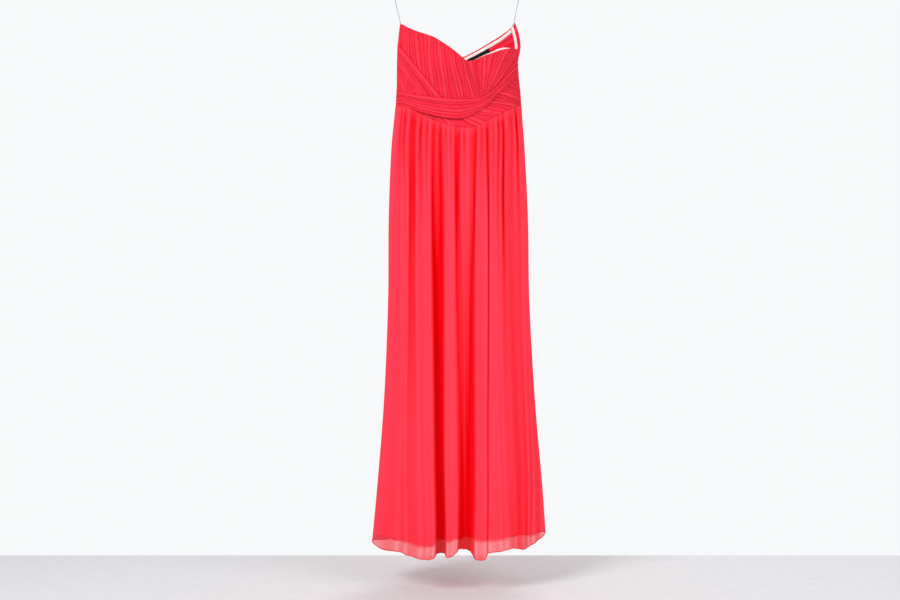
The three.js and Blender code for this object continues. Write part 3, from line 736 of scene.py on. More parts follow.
# x and z of points of the hems.
FRONT_HEM = np.array([
    (-226, -1450), (-188, -1461), (-151, -1459), (-124, -1466), (-84, -1473), (-69, -1472),
    (-50, -1464), (-36, -1463), (-23, -1465), (-14, -1463), (-1, -1452), (19, -1450), (34, -1457),
    (46, -1470), (69, -1472), (78, -1457), (106, -1454), (142, -1450), (173, -1457), (184, -1450),
    (206, -1442), (235, -1426),
], float)
BACK_HEM = np.array([
    (-226, -1450), (-150, -1458), (-60, -1466), (0, -1460), (120, -1456), (200, -1438), (235, -1426),
], float)
LINING_FRONT_HEM = np.array([
    (-226, -1430), (-188, -1423), (-124, -1430), (-95, -1437), (-60, -1434), (-46, -1420),
    (-20, -1421), (0, -1414), (30, -1414), (60, -1421), (110, -1420), (150, -1413), (190, -1419),
    (235, -1412),
], float)
LINING_BACK_HEM = np.array([(-226, -1430), (-80, -1424), (60, -1426), (235, -1412)], float)
# A side is whether it is the back, its first angle and its last, and a panel is its creases, its
# hem and its side.
FRONT_SIDE = (False, -90, 90)
BACK_SIDE = (True, 90, 270)
FRONT_PANEL = (FRONT_CREASES, FRONT_HEM, *FRONT_SIDE)
BACK_PANEL = (BACK_CREASES, BACK_HEM, *BACK_SIDE)
LINING_PANELS = ((FRONT_CREASES, LINING_FRONT_HEM, *FRONT_SIDE),
                 (BACK_CREASES, LINING_BACK_HEM, *BACK_SIDE))
WAIST_LEVEL = -330
HEM_LEVEL = -1460
# Share of their depth that the creases have at the waist seam, and the share of the skirt's
# length in which they reach the whole of it.
SEAM_SHARE = 0.4
SEAM_FADE = 0.025
# How far the gathers stand out under the seam, and how fast that goes.
GATHERED_PUFF = 1.9
PUFF_FADE = 0.028
# Depths at which a fold has its deepest painted shade, under the waist and DEEP_REACH further down, how
# quickly the painted shade comes, and how much less sheer the cloth is there.
DEEP_AT_WAIST = 10
DEEP_BELOW = 24
DEEP_REACH = 400
DEEP_POWER = 0.6
DEEP_COVER = 0.7
# The chiffon turns sheer this far below the lining's edge, over this length.
SHEER_BELOW = 7
SHEER_FADE = 8
# How far the chiffon lies out from the hollow shape.
ABOVE_BODY = 0.6
# The top edge is sewn in behind the bodice: how far inside it lies and how far up it goes, in
# two rows.
TUCK = ((0.5, 6), (1.2, 1.5))
CHIFFON_ROWS = 158
HEM_SIDES = 6
HEM_FLATNESS = 0.8


def angle_across(x, z, behind):
    """Angle round the body of a place across its front or its back."""
    left, right = level("left", z), level("right", z)
    angle = np.degrees(np.arcsin(np.clip((2 * x - left - right) / (right - left), -1, 1)))
    return 180 - angle if behind else angle


def crease_angles(panel, z):
    """Angles of the panel's creases, between those of its two seams; a row for each."""
    creases, _, behind, first, last = panel
    z = np.asarray(z, float)
    levels = np.array(CREASE_LEVELS, float)
    left, right = level("left", levels), level("right", levels)
    angles = [np.full_like(z, first)]
    for crease in creases:
        share = (2 * crease[:len(levels)] - left - right) / (right - left)
        angle = np.degrees(np.arcsin(np.clip(blend(levels, share, z), -0.999, 0.999)))
        angles.append(180 - angle if behind else angle)
    angles.append(np.full_like(z, last))
    return np.array(angles)


def crease_depths(panel, z):
    """Depths of the panel's creases and its two seams; a row for each."""
    count = len(CREASE_LEVELS)
    inner = [np.maximum(blend(CREASE_LEVELS, crease[count:], z), 0) for crease in panel[0]]
    return np.array([0 * z, *inner, 0 * z])


def skirt_grid(panel, places, down, extra=None):
    """Points of a skirt panel, and how deep each lies in a fold. places count the creases across
    it, and down runs from 0 at the waist to 1 at the hem. extra(waist x, down) is a further
    depth, towards the inside."""
    hem = panel[1]
    i = np.clip(places.astype(int), 0, len(panel[0]))
    t = places - i
    at_waist, at_hem = crease_angles(panel, WAIST_LEVEL), crease_angles(panel, HEM_LEVEL)
    top_angle, hem_angle = (at[i] + (at[i + 1] - at[i]) * t for at in (at_waist, at_hem))
    top_z = blend(WAIST[:, 0], WAIST[:, 1], top_angle) - SEAM_GAP
    hem_z = blend(hem[:, 0], hem[:, 1], body_point(hem_angle, float(HEM_LEVEL))[:, 0])
    z = top_z[:, None] + (hem_z - top_z)[:, None] * down
    angles, depths = crease_angles(panel, z), crease_depths(panel, z)
    columns = np.arange(len(places))
    here, after = angles[i, columns], angles[i + 1, columns]
    ease = (1 - np.cos(np.pi * t)) / 2
    folded = depths[i, columns] + (depths[i + 1, columns] - depths[i, columns]) * ease[:, None]
    folded = folded * (SEAM_SHARE + (1 - SEAM_SHARE) * smooth(down / SEAM_FADE))
    more = 0
    if extra:
        at_seam = smooth(np.minimum(places, places[-1] - places))[:, None]
        waist_x = body_point(top_angle, float(WAIST_LEVEL))[:, 0]
        more = extra(waist_x[:, None], down[None, :]) * at_seam
    return body_point(here + (after - here) * t[:, None], z, folded + more), folded


def even_places(panel, count):
    """Places across a panel that are evenly apart along the cloth, on average from waist to hem."""
    fine = np.linspace(0, len(panel[0]) + 1, 4001)
    grid, _ = skirt_grid(panel, fine, np.array([0.05, 0.3, 0.6, 1.0]))
    steps = np.linalg.norm(np.diff(grid, axis=0), axis=-1)
    share = np.cumsum(np.concatenate([[0], (steps / steps.sum(0)).mean(1)]))
    return np.interp(np.linspace(0, share[-1], count), share, fine)


def uneven_rows(count, crowd_top, crowd_hem):
    """Rows from 0 to 1, closer at the top and at the hem."""
    fine = np.linspace(0, 1, 2001)
    density = 1 + crowd_top * np.exp(-fine / 0.05) + crowd_hem * np.exp(-(1 - fine) / 0.03)
    share = np.concatenate([[0], np.cumsum((density[1:] + density[:-1]) / 2)])
    return np.interp(np.linspace(0, share[-1], count), share, fine)


def chiffon_ripples(waist_x, down):
    """Small gathers that stand out and fade below the waist, and soft folds and flutes further
    down."""
    depth = sizes().gather_depth / MM
    gathers = ripple(waist_x + 2 * np.sin(9 * down), (6.1, 0.5, 0.4), (8.7, 0.7, 2.0), (12.9, 0.6, 4.4))
    gathers = gathers * depth * (0.35 + 0.65 * smooth(down / 0.015)) * np.exp(-down / 0.06)
    soft = ripple(waist_x + 5 * np.sin(4 * down), (17, 0.4, 0.3), (29, 0.8, 1.1), (41, 0.9, 3.0))
    soft = soft * smooth(down / 0.2)
    flutes = ripple(waist_x + 3 * np.sin(12 * down), (13, 0.7, 0.9), (21, 1.1, 2.6))
    flutes = flutes * smooth((down - 0.82) / 0.18)
    return gathers + soft + flutes - GATHERED_PUFF * np.exp(-down / PUFF_FADE)


def tucked(grid, behind):
    """The grid with rows in front that go up against the inside of the bodice."""
    top = grid[:, :1]
    x, z = top[..., 0], top[..., 2]
    angle = angle_across(x, z, behind)
    rows = [body_point(angle, z + up, inwards) for inwards, up in TUCK]
    return np.concatenate([*rows, grid], 1)


class DRESS_OT_chiffon(bpy.types.Operator):
    """Outer skirt of gathered chiffon, with its rolled hem"""

    bl_idname = "dress.chiffon"
    bl_label = "Chiffon skirt"

    def execute(self, context):
        down = uneven_rows(CHIFFON_ROWS, 3.0, 1.0)
        half_thickness = sizes().chiffon_thickness / MM / 2
        hem_radius = sizes().hem_thickness / MM / 2
        hem_material = cloth_material("rolled hem", scaled(colour_of("chiffon"), 0.85), bump=0.3)
        for name, panel, lining_hem in (("front", FRONT_PANEL, LINING_FRONT_HEM),
                                        ("back", BACK_PANEL, LINING_BACK_HEM)):
            places = even_places(panel, sizes().chiffon_columns)
            middle, folded = skirt_grid(panel, places, down, chiffon_ripples)
            middle = tucked(middle - grid_normals(middle) * ABOVE_BODY, name == "back")
            folded = np.pad(folded, ((0, 0), (len(TUCK), 0)), mode="edge")
            half = -grid_normals(middle) * half_thickness
            piece = shell(f"chiffon_{name}", middle + half, middle - half, chiffon_material())
            # The attribute "fold" carries painted shade: how much of the deep colour each point gets
            # down in its fold.
            deep, sheer = self.shades(middle, folded, lining_hem)
            mark(piece, "fold", [deep, deep])
            mark(piece, "sheer", [sheer, sheer])
            edge = middle[:, -1] + (0, 0, hem_radius * 0.5)
            upright = np.tile((0.0, 0.0, 1.0), (len(edge), 1))
            hem = tube(f"chiffon_hem_{name}", edge, upright, HEM_SIDES,
                       (hem_radius, hem_radius * HEM_FLATNESS), hem_material)
            finish_piece(piece, [f"skirt_{name}"])
            finish_piece(hem, [])
        return {"FINISHED"}

    def shades(self, middle, folded, lining_hem):
        """How much painted shade, the deep colour, each point has down in its fold, and how sheer it
        is.
        """
        x, z = middle[..., 0], middle[..., 2]
        under_top = smooth((middle[:, len(TUCK), None, 2] - z) / DEEP_REACH)
        deepest = DEEP_AT_WAIST + (DEEP_BELOW - DEEP_AT_WAIST) * under_top
        deep = np.clip(folded / deepest, 0, 1) ** DEEP_POWER
        lining_z = blend(lining_hem[:, 0], lining_hem[:, 1], x) - SHEER_BELOW
        sheer = (1 - smooth((z - lining_z) / SHEER_FADE)) * (1 - DEEP_COVER * deep)
        return deep, sheer


# Lining

LINING_CLEARANCE = 4.4
LINING_TUCK = 4
LINING_COLUMNS = 260
LINING_ROWS = 84
# Columns of the folds that it follows, places across a row at which its clearance is found, how
# far it stays from the seams, and the rows over which its side edges are evened out.
FOLLOWED_COLUMNS = 700
ROW_SAMPLES = 900
FROM_SEAMS = 0.3
LEAST_OPENING = 0.4
EVENED_ROWS = 7


def rolled_inside(line, clearance, step):
    """Depth of a ball's centre that rolls along the inside of a line of depths."""
    reach = int(clearance / step)
    shifts = np.arange(-reach, reach + 1)
    padded = np.pad(line, reach, mode="edge")
    ball = np.sqrt(clearance**2 - (shifts * step) ** 2)
    depths = [padded[reach + s:reach + s + len(line)] + rise for s, rise in zip(shifts, ball)]
    return np.max(depths, axis=0)


def lining_grids():
    """Front and back of the lining, which follow the folds of the chiffon from inside."""
    down = uneven_rows(LINING_ROWS, 2.0, 0.5)
    fronts, backs = (skirt_grid(panel, even_places(panel, FOLLOWED_COLUMNS), down)[0]
                     for panel in LINING_PANELS)
    ends, lines = [], []
    for j in range(LINING_ROWS):
        front, back = fronts[:, j], backs[::-1, j]
        xs = np.linspace(front[0, 0] + FROM_SEAMS, front[-1, 0] - FROM_SEAMS, ROW_SAMPLES)
        step = xs[1] - xs[0]
        y_front = rolled_inside(np.interp(xs, front[:, 0], front[:, 1]), LINING_CLEARANCE, step)
        y_back = -rolled_inside(-np.interp(xs, back[:, 0], back[:, 1]), LINING_CLEARANCE, step)
        open_places = np.nonzero(y_front < y_back - LEAST_OPENING)[0]
        ends.append((xs[open_places[0]], xs[open_places[-1]]))
        lines.append((xs, (y_front, front), (y_back, back)))
    kernel = np.ones(EVENED_ROWS) / EVENED_ROWS
    first, last = (np.convolve(np.pad(e, EVENED_ROWS // 2, mode="edge"), kernel, mode="valid")
                   for e in np.transpose(ends))
    spread = (1 - np.cos(np.pi * np.linspace(0, 1, LINING_COLUMNS))) / 2
    grids = np.empty((2, LINING_COLUMNS, LINING_ROWS, 3))
    for j, (xs, *halves) in enumerate(lines):
        x = first[j] + (last[j] - first[j]) * spread
        for grid, (y, source) in zip(grids, halves):
            z = np.interp(x, source[:, 0], source[:, 2])
            grid[:, j] = np.stack([x, np.interp(x, xs, y), z], -1)
    return grids


class DRESS_OT_lining(bpy.types.Operator):
    """Opaque lining of the skirt, shorter than the chiffon"""

    bl_idname = "dress.lining"
    bl_label = "Skirt lining"

    def execute(self, context):
        thickness = sizes().lining_thickness / MM
        front, back = lining_grids()
        for name, grid, facing in (("front", front, 1), ("back", back, -1)):
            inwards = facing * grid_normals(grid)
            top = grid[:, :1] + (0, 0, LINING_TUCK) - inwards[:, :1] * LINING_TUCK / 2
            grid = np.concatenate([top, grid], 1)
            inwards = facing * grid_normals(grid)
            piece = shell(f"lining_cloth_{name}", grid, grid + inwards * thickness, lining_material())
            finish_piece(piece, [f"lining_{name}"])
        return {"FINISHED"}


# Bodice

# Guide lines of each piece: first angle and z, last angle and z, and bow.
CUPS_MEET = (8.3, -214, 18.5, -307, -3)
BACKS_MEET = (180, -176, 180, -318, 0)
RIGHT_CUP = np.array([
    (-88.0, -101, -88.0, -151, 0),
    (-71.3, -104, -63.0, -182, 0),
    (-56.7, -116, -50.0, -205, 0),
    (-45.4, -127, -39.0, -233, 0),
    (-33.0, -139, -27.0, -268, 0),
    (-24.0, -149, -17.5, -304, 0),
    (-15.5, -164, -7.5, -309, 0),
    (-6.5, -181, 2.0, -309, 0),
    (1.5, -198, 10.0, -309, 0),
    CUPS_MEET,
], float)
LEFT_CUP = np.array([
    CUPS_MEET,
    (15.0, -211, 19.4, -306, -4),
    (24.0, -200, 20.4, -305, -5),
    (34.0, -189, 21.4, -304, -5),
    (44.5, -178, 22.5, -303, -4),
    (56.0, -171, 23.6, -302, 0),
    (69.0, -169, 24.8, -301, 4),
    (82.0, -163, 26.0, -299, 8),
    (93.5, -136, 27.4, -297, 8),
    (99.4, -98, 28.8, -295, 6),
    (96.2, -196, 30.2, -292, 6),
], float)
DRAPE = np.array([
    (-88.0, -151, -13.5, -307, 0),
    (-88.0, -181, -30.0, -302, 0),
    (-88.0, -212, -46.0, -296, 0),
    (-88.0, -245, -64.0, -288, 0),
    (-88.0, -274, -82.0, -281, 0),
], float)
BAND = np.array([
    (-88.0, -273, -88.0, -313, 0),
    (-61.0, -282, -60.0, -317, 0),
    (-46.8, -289, -48.0, -324, 0),
    (-31.6, -295, -31.0, -340, 0),
    (-16.9, -300, -15.0, -351, 0),
    (-3.3, -303, 0.0, -355, 0),
    (10.0, -303, 11.0, -346, 0),
    (19.3, -301, 20.0, -331, 0),
    (27.0, -292, 28.5, -315, 0),
    (34.5, -277, 38.0, -293, 0),
    (45.0, -255, 49.0, -271, 0),
    (58.8, -230, 61.0, -255, 0),
    (76.0, -209, 78.0, -241, 0),
    (97.0, -199, 95.6, -232, 0),
], float)
UNDER_WRAP = np.array([
    (83.0, -230, 95.4, -237, 0),
    (62.0, -247, 94.8, -262, 0),
    (48.0, -266, 93.8, -287, 0),
    (37.0, -288, 92.2, -311, 2),
    (27.5, -309, 68.0, -317, 2),
    (19.0, -325, 46.0, -335, 0),
    (9.0, -341, 29.0, -354, 0),
    (-3.0, -349, 13.0, -375, 0),
    (-17.0, -345, -6.0, -372.6, 0),
    (-31.0, -334, -24.0, -354.4, 0),
    (-46.0, -320, -43.5, -331, 0),
], float)
LEFT_BACK = np.array([
    BACKS_MEET,
    (166.0, -157, 166.0, -318, 0),
    (150.0, -137, 150.0, -317, 0),
    (132.0, -120, 132.0, -316, 0),
    (118.0, -109, 116.0, -314, 0),
    (108.0, -100, 104.0, -313, 0),
    (99.3, -97, 94.4, -312, 0),
], float)
RIGHT_BACK = np.array([
    BACKS_MEET,
    (194.0, -158, 194.0, -318, 0),
    (210.0, -139, 210.0, -318, 0),
    (228.0, -123, 228.0, -317, 0),
    (243.0, -113, 243.0, -316, 0),
    (256.0, -106, 256.0, -315, 0),
    (272, -101, 272, -313, 0),
], float)


def no_lift(row, run):
    return 0 * row * run


def band_lift(row, run):
    """The band lies on all that it crosses, and rises once more over the edge of the drape. Where
    nothing lies under its lower edge, that edge comes down to the body."""
    over_drape = smooth((row - 0.15) / 0.06) * (1 - smooth((row - 0.37) / 0.06))
    free = (1 - smooth((row - 0.11) / 0.06)) * smooth((run - 0.4) / 0.6)
    return LAYER_LIFT * (1 + over_drape) * (1 - free)


def drape_lift(row, run):
    """The upper edge of the drape lies on the cup, and the rest of it on the body."""
    return LAYER_LIFT * (1 - smooth((row - 0.1) / 0.12)) + 0 * run


# name, CAD node, guides, pleats, whether they cross the guides, whether the guides look
# straight from the front, lift, mesh rows along the pleats, cut size in metres
BODICE = (
    ("pleated_cup_right", "cup_right", RIGHT_CUP, 22, False, False, no_lift, 60, (0.25, 0.145)),
    ("pleated_cup_left", "cup_left", LEFT_CUP, 16, False, False, no_lift, 60, (0.155, 0.15)),
    ("pleated_drape", "drape_right", DRAPE, 12, False, True, drape_lift, 70, (0.14, 0.125)),
    ("pleated_band", "wrap_band", BAND, 6, True, False, band_lift, 200, (0.43, 0.052)),
    ("pleated_under_wrap", "under_wrap", UNDER_WRAP, 26, False, False, no_lift, 56, (0.18, 0.098)),
    ("pleated_back_left", "back_left", LEFT_BACK, 10, True, False, no_lift, 90, (0.205, 0.23)),
    ("pleated_back_right", "back_right", RIGHT_BACK, 10, True, False, no_lift, 90, (0.205, 0.23)),
)
# The layers are pressed flat at the side seams: the angles between which that happens, the
# degrees over which it sets in, and the share of their thickness they lose.
PRESSED_LEFT = (68, 128)
PRESSED_RIGHT = (-66, 249)
PRESSING = 20
PRESSED = 0.8
# Places of the mesh lines across one pleat, the place of its crest, and the height between the
# last pleat and the edge.
ACROSS_PLEAT = (0, 0.07, 0.18, 0.34, 0.52, 0.68, 0.8, 0.87, 0.93, 0.97)
PLEAT_CREST = 0.8
EDGE_HEIGHT = 0.3
# Close mesh rows at both ends of the pleats, for their rounded edges, and how the rows of a
# piece with straight guides crowd towards the side seam.
CLOSE_ROWS = (0.0, 0.001, 0.003, 0.006)
EVEN_ROWS = (0.011, 0.989)
SIDE_CROWDING = 1.6
# Length over which an edge is rounded, its least thickness, and the length of a fine crease.
EDGE_ROUNDING = 3
LEAST_EDGE = 0.12
CREASE_LENGTH = 25


def pleat_samples(count, overhang):
    """Place on the outer and on the inner face, height and number of each mesh line across a row
    of pleats."""
    local = np.array(ACROSS_PLEAT)
    climb = np.sin(np.pi / 2 * np.minimum(local / PLEAT_CREST, 1)) ** 0.85
    drop = np.cos(np.pi / 2 * np.clip((local - PLEAT_CREST) / (1 - PLEAT_CREST), 0, 1)) ** 0.7
    height = np.where(local < PLEAT_CREST, climb, drop)
    lean = overhang * height * smooth((local - 0.35) / 0.4)
    numbers = np.arange(count + 1)
    starts = numbers + np.where((numbers == 0) | (numbers == count), 0, 0.17 * np.sin(2.4 * numbers))
    widths = np.diff(starts)
    outer = starts[:-1, None] + widths[:, None] * (local + lean)
    inner = starts[:-1, None] + widths[:, None] * local
    heights = (0.78 + 0.22 * np.cos(1.9 * numbers[:-1]))[:, None] * height
    heights = np.append(heights.ravel(), EDGE_HEIGHT)
    which = np.append(np.repeat(numbers[:-1], len(local)), count - 1)
    outer, inner = (np.append(places.ravel(), count) / count for places in (outer, inner))
    return np.clip(outer, 0, 1), inner, heights, which


def rows_with_edges(count):
    """Even rows from 0 to 1, with a few close ones at both ends for the rounded edges."""
    edge = np.array(CLOSE_ROWS)
    return np.concatenate([edge, np.linspace(*EVEN_ROWS, count - 2 * len(edge)), 1 - edge[::-1]])


def guide_angles(guides, row, run, straight):
    """Angle and z at a place among the guide lines and along them."""
    keys = np.linspace(0, 1, len(guides))
    from_angle, from_z, to_angle, to_z, bow = (blend(keys, guides[:, k], row) for k in range(5))
    z = from_z + (to_z - from_z) * run + bow * 4 * run * (1 - run)
    if not straight:
        return from_angle + (to_angle - from_angle) * run, z
    from_sine, to_sine = np.sin(np.radians(from_angle)), np.sin(np.radians(to_angle))
    return np.degrees(np.arcsin(from_sine + (to_sine - from_sine) * run)), z


def edge_distance(grid, axis):
    """Distance of each grid point from the nearer end of its line, along one direction."""
    steps = np.linalg.norm(np.diff(grid, axis=axis), axis=-1)
    first = np.zeros_like(grid[..., 0])
    moved = np.moveaxis(first, axis, 0)
    moved[1:] = np.cumsum(np.moveaxis(steps, axis, 0), axis=0)
    return np.minimum(first, np.take(first, [-1], axis=axis) - first)


def near_seams(angle):
    """How far a place lies in the pressed strip along one of the side seams, 0 to 1."""
    first, last = PRESSED_LEFT
    front, back = PRESSED_RIGHT
    left = smooth((angle - first) / PRESSING) * smooth((last - angle) / PRESSING)
    return left + smooth((front - angle) / PRESSING) + smooth((angle - back) / PRESSING)


def pleated_grids(guides, pleats, crossing, straight, lift, rows):
    """Outer and inner face of a pleated piece, and the values that its material reads: how much painted
    shade each point has, the more the lower it lies between the pleats, and its place across the pleats
    and along them."""
    outer_places, inner_places, heights, which = pleat_samples(pleats, sizes().pleat_overhang)
    along = rows_with_edges(rows)
    along = along**SIDE_CROWDING if straight else along
    heights, which = heights[:, None], which[:, None]
    faces = []
    for places in (outer_places[:, None], inner_places[:, None]):
        number = places * pleats
        wander = 0.12 * np.sin(1.3 * number + 5 * along) + 0.06 * np.sin(2.9 * number - 9 * along)
        from_edge = np.minimum(places, 1 - places) * pleats
        pleated = places + wander / pleats * smooth(from_edge / 1.5)
        plain = np.broadcast_to(along, pleated.shape)
        row, run = (plain, pleated) if crossing else (pleated, plain)
        faces.append((*guide_angles(guides, row, run, straight), lift(row, run)))
    (outer_angle, outer_z, outer_base), (angle, z, base) = faces
    flat = 1 - PRESSED * near_seams(angle)
    inner = lifted_point(angle, z, base * flat)
    edge = np.minimum(edge_distance(inner, 0), edge_distance(inner, 1))
    rounding = np.sqrt(1 - (1 - np.clip(edge / EDGE_ROUNDING, 0, 1)) ** 2)
    swell = 0.82 + 0.18 * np.sin(1.3 * which + 7 * plain) * np.sin(0.7 * which + 4 * plain)
    fine = 0.1 * np.sin(23 * plain * 2 * np.pi + 3 * which) * heights
    thickness = (WALL + PLEAT_HEIGHT * (heights * swell + fine * 0.4)) * flat
    rounded = np.maximum(thickness * rounding, LEAST_EDGE)
    outer = lifted_point(outer_angle, outer_z, outer_base * flat + rounded)
    # Painted shade between the pleats: the lower a point lies, the more of the dark colour it gets.
    painted_groove_shade = np.broadcast_to((1 - np.clip(heights, 0, 1)) ** 1.1, plain.shape)
    length = np.linalg.norm(np.diff(inner, axis=1), axis=-1).sum(1).mean()
    across = np.broadcast_to(number, plain.shape)
    return outer, inner, {"fold": painted_groove_shade, "across": across, "along": plain * length / CREASE_LENGTH}


class DRESS_OT_bodice(bpy.types.Operator):
    """Pleated cups, drape, wrap band and back of the bodice"""

    bl_idname = "dress.bodice"
    bl_label = "Pleated bodice"

    def execute(self, context):
        for name, node, guides, pleats, crossing, straight, lift, rows, cut in BODICE:
            outer, inner, values = pleated_grids(guides, pleats, crossing, straight, lift, rows)
            piece = shell(name, outer, inner, bodice_material())
            for value_name, value in values.items():
                mark(piece, value_name, [value, value])
            finish_piece(piece, [node])
        return {"FINISHED"}


# Tapes, label and stitches

TAPE_WIDTH = 8.5
TAPE_THICKNESS = 0.8
TAPE_BELOW_EDGE = 9
# The two back tapes end this many degrees from the centre seam.
FROM_CENTRE = 1.4
LABEL_HEIGHT = 20
LABEL_LINE = np.array([(170.5, -186.2), (160, -172.2), (149, -159.2)])
# How far the outer face of a strip lies inside the body.
AGAINST_INSIDE = -0.8
AGAINST_BUST = -1.4
# Places across a strip, from -1 to 1, the share of it that its rounded edge takes, and how far
# its low middle ridge reaches.
ACROSS_STRIP = (-1, -0.97, -0.88, -0.6, -0.34, -0.28, -0.1, 0.1, 0.28, 0.34, 0.6, 0.88, 0.97, 1)
STRIP_EDGE = 0.12
RIDGE_HALF = 0.3
# How far the stitches lie from a strip's edge, the sides of a thread, and the place along a
# stitch and the radius of each of its rings.
TAPE_MARGIN = 1.1
LABEL_MARGIN = 1.2
THREAD_SIDES = 5
STITCH_RINGS = ((0, 0.12), (0.2, 0.26), (0.8, 0.26), (1, 0.12))
STITCH_SUNK = 0.3
# Length round the body at each degree, at the height of the tapes.
TAPE_LEVEL = -140
ARC_ANGLES = np.arange(-90, 271, 1.0)
ARC_LENGTHS = np.concatenate([[0], np.cumsum(np.linalg.norm(
    np.diff(body_point(ARC_ANGLES, float(TAPE_LEVEL)), axis=0), axis=-1))])
# Middle lines of two tapes, as angle and z.
SIDE_LEFT_LINE = np.array([(111.5, -104), (111, -135), (110, -176)])
FRONT_LEFT_LINE = np.array([
    (10, -223), (13, -219), (18, -212), (27, -199.5), (35, -189), (42, -179.5), (50, -175), (60, -175),
    (70, -178),
])


def below_edge(guides, drop, *more):
    """Angle and z below the first points of guide lines, and of more points."""
    return np.array([(guide[0], guide[1] - drop) for guide in guides] + list(more), float)


def tape_lines():
    """Name, CAD node, middle line (angle, z), mesh steps and lift of each tape."""
    left = below_edge(LEFT_BACK[:4], TAPE_BELOW_EDGE, (115, -114.5))
    right = below_edge(RIGHT_BACK[:6], TAPE_BELOW_EDGE)
    left[0, 0] -= FROM_CENTRE
    right[0, 0] += FROM_CENTRE
    return (
        ("grip_tape_back_left", "tape_back_left", left, 80, AGAINST_INSIDE),
        ("grip_tape_back_right", "tape_back_right", right, 90, AGAINST_INSIDE),
        ("grip_tape_side_left", "tape_side_left", SIDE_LEFT_LINE, 40, AGAINST_INSIDE),
        ("grip_tape_front_left", "tape_front_left", FRONT_LEFT_LINE, 80, AGAINST_BUST),
        ("grip_tape_front_right", "tape_front_right", below_edge(RIGHT_CUP[1:], TAPE_BELOW_EDGE), 90,
         AGAINST_BUST),
    )


def strip_points(line, offsets, steps, lift):
    """Points beside the middle line of a strip on the inside of the dress. offsets are in
    millimetres from its middle, and lift is out of the body for each offset and step."""
    rows = np.arange(len(line))
    key = np.linspace(0, len(line) - 1, steps)
    arc = blend(rows, np.interp(line[:, 0], ARC_ANGLES, ARC_LENGTHS), key)
    z = blend(rows, line[:, 1], key)
    forward = unit(np.stack([np.gradient(arc), np.gradient(z)], -1))
    arcs = arc[None, :] - forward[None, :, 1] * offsets[:, None]
    zs = z[None, :] + forward[None, :, 0] * offsets[:, None]
    angles = np.interp(arcs, ARC_LENGTHS, ARC_ANGLES)
    return lifted_point(angles, zs, np.broadcast_to(lift, arcs.shape))


def strip_grids(line, width, steps, lift, ridge):
    """Both faces of a strip with rounded edges and a low ridge along its middle."""
    share = np.array(ACROSS_STRIP)
    offsets = share * width / 2
    edge = np.minimum(1 - np.abs(share), STRIP_EDGE) / STRIP_EDGE
    rounding = np.sqrt(1 - (1 - edge) ** 2)
    raised = ridge * (np.abs(share) < RIDGE_HALF)
    wave = 0.06 * np.sin(np.linspace(0, 40, steps))
    outer = strip_points(line, offsets, steps, lift - 0.1 * (1 - rounding)[:, None])
    inner_lift = lift - LEAST_EDGE - (TAPE_THICKNESS - LEAST_EDGE) * rounding - raised
    inner = strip_points(line, offsets, steps, inner_lift[:, None] + wave)
    return outer, inner


def line_length(line):
    return float(np.sum(np.linalg.norm(np.diff(line, axis=0), axis=-1)))


def add_stitches(name, line, offsets, lift):
    """Running stitches beside the middle line of a strip, as one piece."""
    length = line_length(strip_points(line, np.zeros(1), 60, lift)[0])
    count = int(length / (sizes().stitch_spacing / MM))
    turn = np.linspace(0, 2 * np.pi, THREAD_SIDES, endpoint=False)
    points, faces = [], []
    for offset in offsets:
        path, under = (strip_points(line, np.array([offset]), count * 4 + 1, height)[0]
                       for height in (lift, lift + 0.5))
        for k in range(0, 4 * count, 4):
            a, b = path[k + 1], path[k + 3]
            out = unit(path[k + 2] - under[k + 2])
            side = np.cross(out, unit(b - a))
            faces += tube_faces(len(points) * THREAD_SIDES, len(STITCH_RINGS), THREAD_SIDES)
            for place, radius in STITCH_RINGS:
                centre = a + (b - a) * place - out * (STITCH_SUNK - radius)
                circle = np.cos(turn)[:, None] * side + np.sin(turn)[:, None] * out
                points.append(centre + radius * circle)
    material = cloth_material("sewing thread", colour_of("thread"), threads=1500.0, grain=3000.0,
                              depth=0.0001, contrast=0.25)
    return new_object(name, np.concatenate(points), faces, material)


class DRESS_OT_tapes(bpy.types.Operator):
    """Grip tapes inside the top edge, with their stitches"""

    bl_idname = "dress.tapes"
    bl_label = "Grip tapes"

    def execute(self, context):
        material = cloth_material("grip tape", colour_of("tape"), roughness=0.5, shine=0.3,
                                  threads=900.0, grain=1500.0, bump=0.35, depth=0.0002,
                                  contrast=0.12)
        for name, node, line, steps, lift in tape_lines():
            outer, inner = strip_grids(line, TAPE_WIDTH, steps, lift, ridge=0.22)
            piece = shell(name, outer, inner, material)
            edge = TAPE_WIDTH / 2 - TAPE_MARGIN
            stitches = add_stitches(f"stitches_{node}", line, (-edge, edge), lift - TAPE_THICKNESS)
            finish_piece(piece, [node])
            finish_piece(stitches, [])
        return {"FINISHED"}


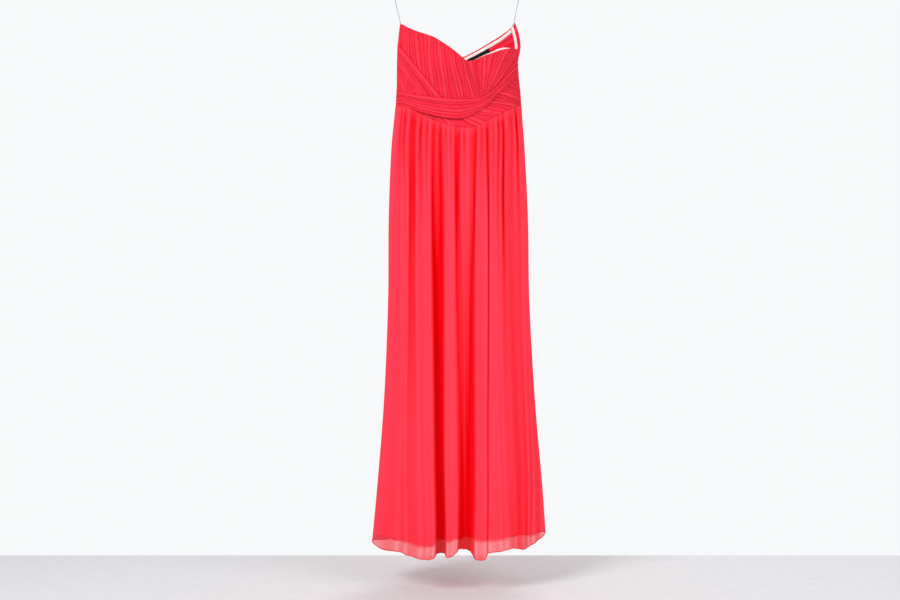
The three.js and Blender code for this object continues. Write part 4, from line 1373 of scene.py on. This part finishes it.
class DRESS_OT_label(bpy.types.Operator):
    """Bare woven label sewn inside the back"""

    bl_idname = "dress.label"
    bl_label = "Label"

    def execute(self, context):
        material = cloth_material("label satin", colour_of("label"), roughness=0.6, shine=0.08,
                                  threads=1200.0, grain=1800.0, depth=0.0001, contrast=0.4)
        outer, inner = strip_grids(LABEL_LINE, LABEL_HEIGHT, 60, AGAINST_INSIDE, ridge=0.0)
        piece = shell("label_cloth", outer, inner, material)
        edge = LABEL_HEIGHT / 2 - LABEL_MARGIN
        stitches = add_stitches("stitches_label", LABEL_LINE, (-edge, edge),
                                AGAINST_INSIDE - TAPE_THICKNESS)
        finish_piece(piece, ["label"])
        finish_piece(stitches, [])
        return {"FINISHED"}


class DRESS_OT_zip(bpy.types.Operator):
    """Enamel on the slider and the pull of the centre back zip"""

    bl_idname = "dress.zip"
    bl_label = "Zip slider and pull"

    def execute(self, context):
        material = painted_metal("zip enamel", colour_of("metal"))
        for node in ("zip_slider", "zip_pull"):
            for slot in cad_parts[node].material_slots:
                slot.material = material
        return {"FINISHED"}


class DRESS_PT_sidebar(bpy.types.Panel):
    """Lists the steps that build the dress, with its sizes and colours"""

    bl_idname = "DRESS_PT_sidebar"
    bl_label = "Dress"
    bl_space_type = "VIEW_3D"
    bl_region_type = "UI"
    bl_category = "Dress"

    def draw(self, context):
        layout = self.layout
        for step in STEPS:
            layout.operator(step.bl_idname)
        for settings in (context.scene.dress_sizes, context.scene.dress_colours):
            box = layout.box()
            for name in settings.__annotations__:
                box.prop(settings, name)


STEPS = (
    DRESS_OT_stage,
    DRESS_OT_loops,
    DRESS_OT_chiffon,
    DRESS_OT_lining,
    DRESS_OT_bodice,
    DRESS_OT_tapes,
    DRESS_OT_label,
    DRESS_OT_zip,
)
classes = (
    DressSizes,
    DressColours,
    *STEPS,
    DRESS_PT_sidebar,
)


def register():
    for item in classes:
        bpy.utils.register_class(item)
    bpy.types.Scene.dress_sizes = PointerProperty(type=DressSizes)
    bpy.types.Scene.dress_colours = PointerProperty(type=DressColours)


def unregister():
    del bpy.types.Scene.dress_colours
    del bpy.types.Scene.dress_sizes
    for item in reversed(classes):
        bpy.utils.unregister_class(item)


def main():
    register()
    bpy.ops.dress.stage()
    bpy.ops.dress.loops()
    bpy.ops.dress.chiffon()
    bpy.ops.dress.lining()
    bpy.ops.dress.bodice()
    bpy.ops.dress.tapes()
    bpy.ops.dress.label()
    bpy.ops.dress.zip()


if __name__ == "__main__":
    main()
